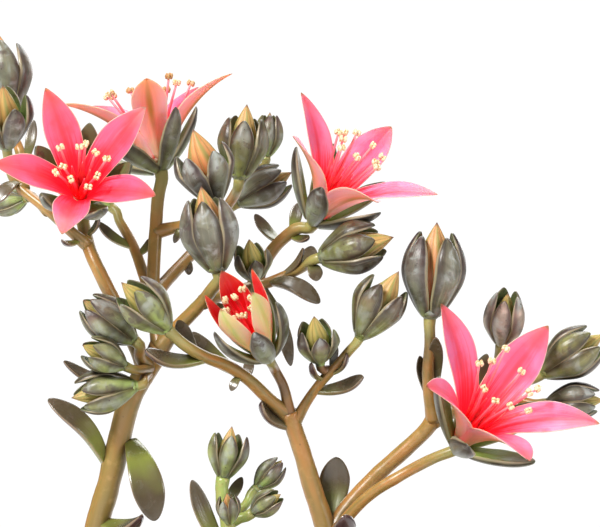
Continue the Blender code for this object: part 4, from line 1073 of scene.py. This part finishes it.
def add_plant(skin, x, y, reach, leaves, turn, stem, free_angle, draw, chance):
    """A short stem, swollen where its leaves root, and the leaves in golden-angle order; gives its foot."""
    foot = Vector((x * MM, y * MM, 0))
    profile = smooth_profile([(stem, NECK_FOOT), (stem, LEAF_ROOT - 2 * MM), (1.15 * stem, LEAF_ROOT),
                              (0.7 * stem, LEAF_ROOT + 0.85 * stem)], 3)
    add_turned(skin, foot, UP, profile, 20, 0.4)
    for k in range(leaves):
        share = k / (leaves - 1)
        angle = math.radians(turn) + k * GOLDEN_ANGLE
        tilt = LOW_TILT - TILT_RANGE * share ** 1.25
        if free_angle is not None and tilt < 80:
            apart = (angle - free_angle + math.pi) % math.tau - math.pi
            if abs(apart) < STALK_ROOM:
                continue
        outward = Vector((math.cos(angle), math.sin(angle), 0))
        length = reach * MM * (1.0 - 0.60 * share ** 1.3) * draw.uniform(0.95, 1.03)
        height = LEAF_ROOT + 0.7 * stem * share + 0.25 * MM
        root = foot + UP * height + outward * (stem * (0.85 - 0.58 * share))
        angles = (tilt, tilt - LEAF_BEND)
        bent_blade(skin, LEAF_FORM, LEAF_SECTION, root, UP, outward, angles, length, chance.random())
    return foot


def flower_frame(name):
    """Axis of a bloom, and the two directions that its parts turn round it by."""
    azimuth, height, turn = (math.radians(value) for value in FLOWERS[name][1])
    axis = Vector((math.sin(azimuth) * math.cos(height), -math.cos(azimuth) * math.cos(height),
                   math.sin(height)))
    side = Vector((math.cos(azimuth), math.sin(azimuth), 0))
    over = side.cross(axis)
    return axis, turned(side, over, turn), turned(over, -side, turn)


def spread(name, count, offset):
    """Directions round a bloom's axis, with an offset in turns."""
    _, first, second = flower_frame(name)
    for k in range(count):
        yield turned(first, second, math.tau * (k + offset) / count)


def carried_base(carried):
    """Base point and axis of the bud or bloom that a branch carries."""
    if carried in BUDS:
        base, tip = (spot(*point) for point in BUDS[carried][:2])
        return base, (tip - base).normalized()
    axis, _, _ = flower_frame(carried)
    return spot(*FLOWERS[carried][0]) - axis * (RECEPTACLE + GAP), axis


def swelling(distance, share, reach):
    """How much thicker a stem is at a distance from where it swells."""
    return share * math.exp(-((distance / MM) / reach) ** 2)


def make_stalk(name, chance):
    """A stalk's stems, with a swelling where each branch leaves and under each bud, and its bracts."""
    stems = Skin()
    for carried, (start_radius, end_radius, marks) in STALKS[name].items():
        main = carried == "main"
        points = [spot(*mark) for mark in marks]
        if carried in BUDS or carried in FLOWERS or name == "stalk_young":
            base, axis = carried_base(TOP_OF_YOUNG_STALK if main else carried)
            points += [base - axis * SEAT_BELOW, base + axis * SEAT_INSIDE]
        if main:
            points.insert(0, points[0] - (points[1] - points[0]).normalized() * STEM_BURIED)
        route = smooth_route(points, STEM_STEP)
        walked = [0.0]
        for start, end in zip(route, route[1:]):
            walked.append(walked[-1] + (end - start).length)
        radii = []
        for place, point in zip(walked, route):
            share = place / walked[-1]
            radius = start_radius + (end_radius - start_radius) * share
            root = 0.0 if main else swelling(place, *ROOT_SWELLING)
            head = swelling(walked[-1] - place, *HEAD_SWELLING)
            knot = 0.05 * noise.noise(point * 260) + 0.03 * noise.noise(point * 700)
            radii.append(radius * (1.0 + root + head + knot) * MM)
        tone = TRUNK_TONE if carried in TRUNKS else 1.0
        shares = [place / walked[-1] * tone for place in walked]
        vary = 1.0 if carried in DUSKY_STEMS else 0.6 * chance.random()
        add_tube(stems, route, radii, STEM_SIDES, vary, shares)
    stems.build(name + "_stems", STEMS[name], [name])
    bracts = Skin()
    for root_mark, tip_mark, width, *bowed in BRACTS[name]:
        vary = chance.uniform(0.6, 0.9) if root_mark[1] > LOW_BRACTS else chance.uniform(0.25, 0.65)
        add_bract(bracts, spot(*root_mark), spot(*tip_mark), width * MM, bowed, vary)
    bracts.build(name + "_bracts", BRACT, [name])


def add_bract(skin, root, tip, width, bowed, vary):
    """A fleshy stem leaf, its root sunk in its stem; bowed may hold its bow as a share of its length."""
    along = tip - root
    length = along.length
    along.normalize()
    face = squared(BRACT_FACE, along)
    side = along.cross(face).normalized()
    bow = length * (bowed[0] if bowed else -0.12 if along.z > -0.3 else 0.16)
    thickness = max(0.8 * MM, min(0.42 * width, 1.9 * MM))
    spine = []
    inner = []
    for share in blade_shares():
        spine.append(root + along * (length * share) + face * (bow * math.sin(math.pi * share)))
        slope = bow * math.pi * math.cos(math.pi * share) / length
        inner.append((face - along * slope).normalized())
    add_blade(skin, BRACT_FORM, PLUMP_SECTION, spine + [tip], inner, side, width, thickness, vary)


def make_flower(name, draw, chance):
    """A bloom: its calyx, its petals, and its heart with the stamens and carpels."""
    _, _, petals, sepals, stamens = FLOWERS[name]
    base, axis = carried_base(name)
    calyx = Skin()
    add_turned(calyx, base, axis, smooth_profile(CALYX_CUP, 4, MM), 28, 0.2)
    start, end, length = sepals
    right, rise = CALYX_LEAN.get(name, (0.0, 0.0))
    heading = (axis + Vector((right, 0.0, rise))).normalized()
    for outward in spread(name, PARTS, 0.5):
        outward = squared(outward, heading)
        root = base + heading * (0.8 * MM) + outward * SEPAL_RING
        angles = (start, end + draw.uniform(-3, 3))
        bent_blade(calyx, SEPAL_FORM, PLUMP_SECTION, root, heading, outward, angles, length * MM,
                   chance.random(), sway=chance.uniform(-0.03, 0.03))
    calyx.build(name + "_sepals", SEPAL_OPEN, [name + "_calyx"])

    floor = base + axis * (RECEPTACLE + GAP)
    corolla = Skin()
    add_turned(corolla, floor, axis, smooth_profile(PETAL_FOOT, 3, MM), 24, 0.5)
    *angles, length = petals
    for k, outward in enumerate(spread(name, PARTS, 0.0)):
        root = floor + axis * ((0.4 + 0.06 * k) * MM) + outward * PETAL_RING
        bent_blade(corolla, PETAL_FORM, PETAL_SECTION, root, axis, outward, angles, length * MM,
                   chance.random(), curl=chance.uniform(-6, 10), sway=chance.uniform(-0.02, 0.02),
                   ruffle=PETAL_RUFFLE)
    corolla.build(name + "_corolla", PETALS[name], [name + "_petals"])

    seat = floor + axis * (PETAL_DISC + GAP)
    low = seat + axis * (0.3 * MM)
    heart = Skin()
    anthers = Skin()
    add_turned(heart, seat, axis, [(radius * MM, height * MM) for radius, height in HEART_DISC], 20, 0.2)
    lean, length = stamens
    for k, outward in enumerate(spread(name, 2 * PARTS, 0.25)):
        inside = k % 2 == 0
        root = low + outward * ((0.85 if inside else 1.05) * MM)
        add_stamen(heart, anthers, root, axis, outward, lean * (0.88 if inside else 1.1),
                   length * (0.94 if inside else 1.0) * MM, chance, name == FADING)
    for outward in spread(name, PARTS, 0.5):
        foot = low + outward * (0.45 * MM)
        top = foot + axis * CARPEL + outward * (1.5 * MM)
        route = smooth_route([foot, foot.lerp(top, 0.45) + outward * (0.25 * MM), top], 0.4 * MM)
        shares = [k / (len(route) - 1) for k in range(len(route))]
        radii = [MM * eased(CARPEL_FORM, share) for share in shares]
        add_tube(heart, route, radii, 12, 0.3, [0.55 * share for share in shares], tip=True)
    flesh = CENTRE_HALF if name == HALF_OPEN else CENTRE
    heart.build(name + "_heart", flesh, [name + "_centre"])
    anthers.build(name + "_anthers", ANTHER, [name + "_centre"])


def add_stamen(heart, anthers, root, axis, outward, lean, length, chance, tanned):
    """A slim filament that curves out a little, and its four-lobed anther."""
    angle = math.radians(lean + chance.uniform(-3, 3))
    side = axis.cross(outward)
    along = (turned(axis, outward, angle) + side * chance.uniform(-0.08, 0.08)).normalized()
    tip = root + along * (length * chance.uniform(0.93, 1.04))
    middle = root.lerp(tip, 0.55) + outward * (0.03 * length) * chance.uniform(-1.0, 0.4)
    route = smooth_route([root, middle, tip], 0.5 * MM)
    thick, thinner = FILAMENT
    radii = [(thick - thinner * k / (len(route) - 1)) * MM for k in range(len(route))]
    add_tube(heart, route, radii, 10, chance.random())
    first, second = across(along)
    turn = chance.uniform(0, math.pi)
    wide, deep = turned(first, second, turn), turned(second, -first, turn)
    vary = chance.uniform(0.6, 1.0) if tanned else chance.uniform(0.0, 0.5)
    apart, ahead, above = LOBE_PLACE
    half_axes = [way * (size * MM) for way, size in zip((wide, deep, along), LOBE)]
    for right in (-1, 1):
        for front in (-1, 1):
            centre = tip + wide * (right * apart * MM) + deep * (front * ahead * MM) + along * (above * MM)
            anthers.ball(centre, *half_axes, 0.5, vary, rows=7, sides=10, lumps=0.35)


def add_cone(skin, base, axis, length, girth):
    """The folded petals: a pointed body of five keeled backs that wind a little."""
    first, second = across(axis)
    sides = PARTS * CONE_SIDES
    marks = [(2 * ((k % CONE_SIDES) / CONE_SIDES) - 1, 0.0) for k in range(sides)]
    shares = [CONE_START + (1 - CONE_START) * (1 - (1 - k / CONE_STEPS) ** 1.3) for k in range(CONE_STEPS)]
    rings = []
    for share in shares:
        ring = []
        for k, (u, _) in enumerate(marks):
            turn = math.tau * (k - CONE_SIDES / 2) / sides + 0.9 * share
            rib = 1.0 - 0.17 * abs(u) ** 2.4 + 0.035 * math.exp(-(u / 0.18) ** 2)
            reach = eased(CONE, share) * girth * length * rib
            ring.append(base + axis * (share * length) + turned(first, second, turn) * reach)
        rings.append(ring)
    skin.loft(rings, shares, marks, 0.5, base + axis * length)


def make_bud(name, draw, chance):
    """A bud: five thick sepals round the folded petals."""
    _, tip_mark, turn, reach, splay, girth, ripe = BUDS[name]
    base, axis = carried_base(name)
    length = (spot(*tip_mark) - base).length
    skin = Skin()
    seat = [(1.0 * MM, -0.4 * MM)] + [(radius * length, height * length) for radius, height in BUD_SEAT]
    add_turned(skin, base, axis, smooth_profile(seat, 3), 24, 0.2)
    front = squared(TO_VIEWER, axis)
    right = axis.cross(front)
    spacing = 72.0 - 0.2 * PARTING.get(name, 0.0)
    for k, layer in enumerate(SEPAL_LAYERS):
        angle = math.radians(turn + spacing * k + 72 * draw.uniform(-0.03, 0.03))
        outward = turned(front, right, angle)
        side = axis.cross(outward).normalized()
        top = reach + draw.uniform(-0.04, 0.04)
        low, near = BUD_SEPAL_ROOT
        marks = [(low, near)]
        for share, stand_off in ((0.2, 0.01), (0.42, 0.018), (0.68 * top, 0.02), (top, 0.045)):
            lean = splay * max(0.0, (share - 0.1) / (top - 0.1)) ** 1.5
            marks.append((share, eased(CONE, share) * girth + stand_off + lean + layer + GAP / length))
        curve = [(place.x, place.y) for place in smooth_route([Vector((*mark, 0)) for mark in marks], 0.01)]
        spine = []
        inner = []
        for share in blade_shares() + [1.0]:
            height = low + (top - low) * share
            slope = (eased(curve, height + 0.01) - eased(curve, height - 0.01)) / 0.02
            spine.append(base + axis * (height * length) + outward * (eased(curve, height) * length))
            inner.append((axis * slope - outward).normalized())
        add_blade(skin, BUD_FORM, PLUMP_SECTION, spine, inner, side, length, length, chance.random())
    flesh = SEPAL_GREY
    for group, finish in ((YOUNG_BUDS, SEPAL_YOUNG), (OLIVE_BUDS, SEPAL_OLIVE), (PALE_BUDS, SEPAL_PALE)):
        if name in group:
            flesh = finish
    skin.build(name + "_sepals", flesh, [name])
    cone = Skin()
    add_cone(cone, base, axis, length, girth)
    finish = FOLDED_RIPE if ripe > RIPE else FOLDED_MIXED if ripe > TURNING else FOLDED_GREEN
    cone.build(name + "_cone", finish, [name + "_petals" if name in FULL_BUDS else name])


def make_lamps():
    """Soft boxes that aren't seen themselves."""
    for name, (place, size, watts, colour) in LAMPS.items():
        data = bpy.data.lights.new(name, "AREA")
        data.shape = "RECTANGLE"
        data.size, data.size_y = size
        data.energy = watts
        data.color = colour
        lamp = placed(name, data)
        lamp.location = place
        lamp.rotation_euler = (AIM - Vector(place)).to_track_quat("-Z", "Y").to_euler()
        lamp.visible_camera = False


def make_studio():
    """A pale round floor, a white surround, soft boxes and the photograph's level close view."""
    scene = bpy.context.scene
    cage = bmesh.new()
    bmesh.ops.create_circle(cage, cap_ends=True, segments=160, radius=FLOOR_RADIUS)
    data = bpy.data.meshes.new("studio_floor")
    cage.to_mesh(data)
    cage.free()
    data.materials.append(floor_finish("studio_floor"))
    floor = placed("studio_floor", data)

    world = bpy.data.worlds.new("white_surround")
    world.use_nodes = True
    tree = world.node_tree
    seen = tree.nodes.new("ShaderNodeLightPath")
    strength = tree.nodes.new("ShaderNodeMapRange")
    strength.inputs["To Min"].default_value = SURROUND_LIGHT
    strength.inputs["To Max"].default_value = SURROUND_SEEN
    tree.links.new(seen.outputs["Is Camera Ray"], strength.inputs["Value"])
    background = tree.nodes["Background"]
    background.inputs["Color"].default_value = (1.0, 1.0, 1.0, 1.0)
    tree.links.new(strength.outputs["Result"], background.inputs["Strength"])
    scene.world = world
    make_lamps()

    data = bpy.data.cameras.new("photo_camera")
    data.sensor_fit = "HORIZONTAL"
    data.sensor_width = SENSOR
    data.lens = LENS
    data.clip_start, data.clip_end = CLIPPING
    camera = placed("photo_camera", data)
    camera.location = (MIDDLE_X, -CAMERA_DISTANCE, MIDDLE_HEIGHT)
    camera.rotation_euler = (math.radians(90), 0, 0)
    scene.camera = camera
    scene.view_settings.view_transform = "Standard"
    scene.view_settings.look = "None"


def main():
    """Makes every piece, then the studio; draw gives shapes their small differences, chance the rest."""
    draw = random.Random(11)
    chance = random.Random(5)
    make_pot()
    make_soil()
    for name, row in ROSETTES.items():
        make_rosette(name, row, draw, chance)
    for name in STALKS:
        make_stalk(name, chance)
    for name in FLOWERS:
        make_flower(name, draw, chance)
    for name in BUDS:
        make_bud(name, draw, chance)
    make_studio()


main()
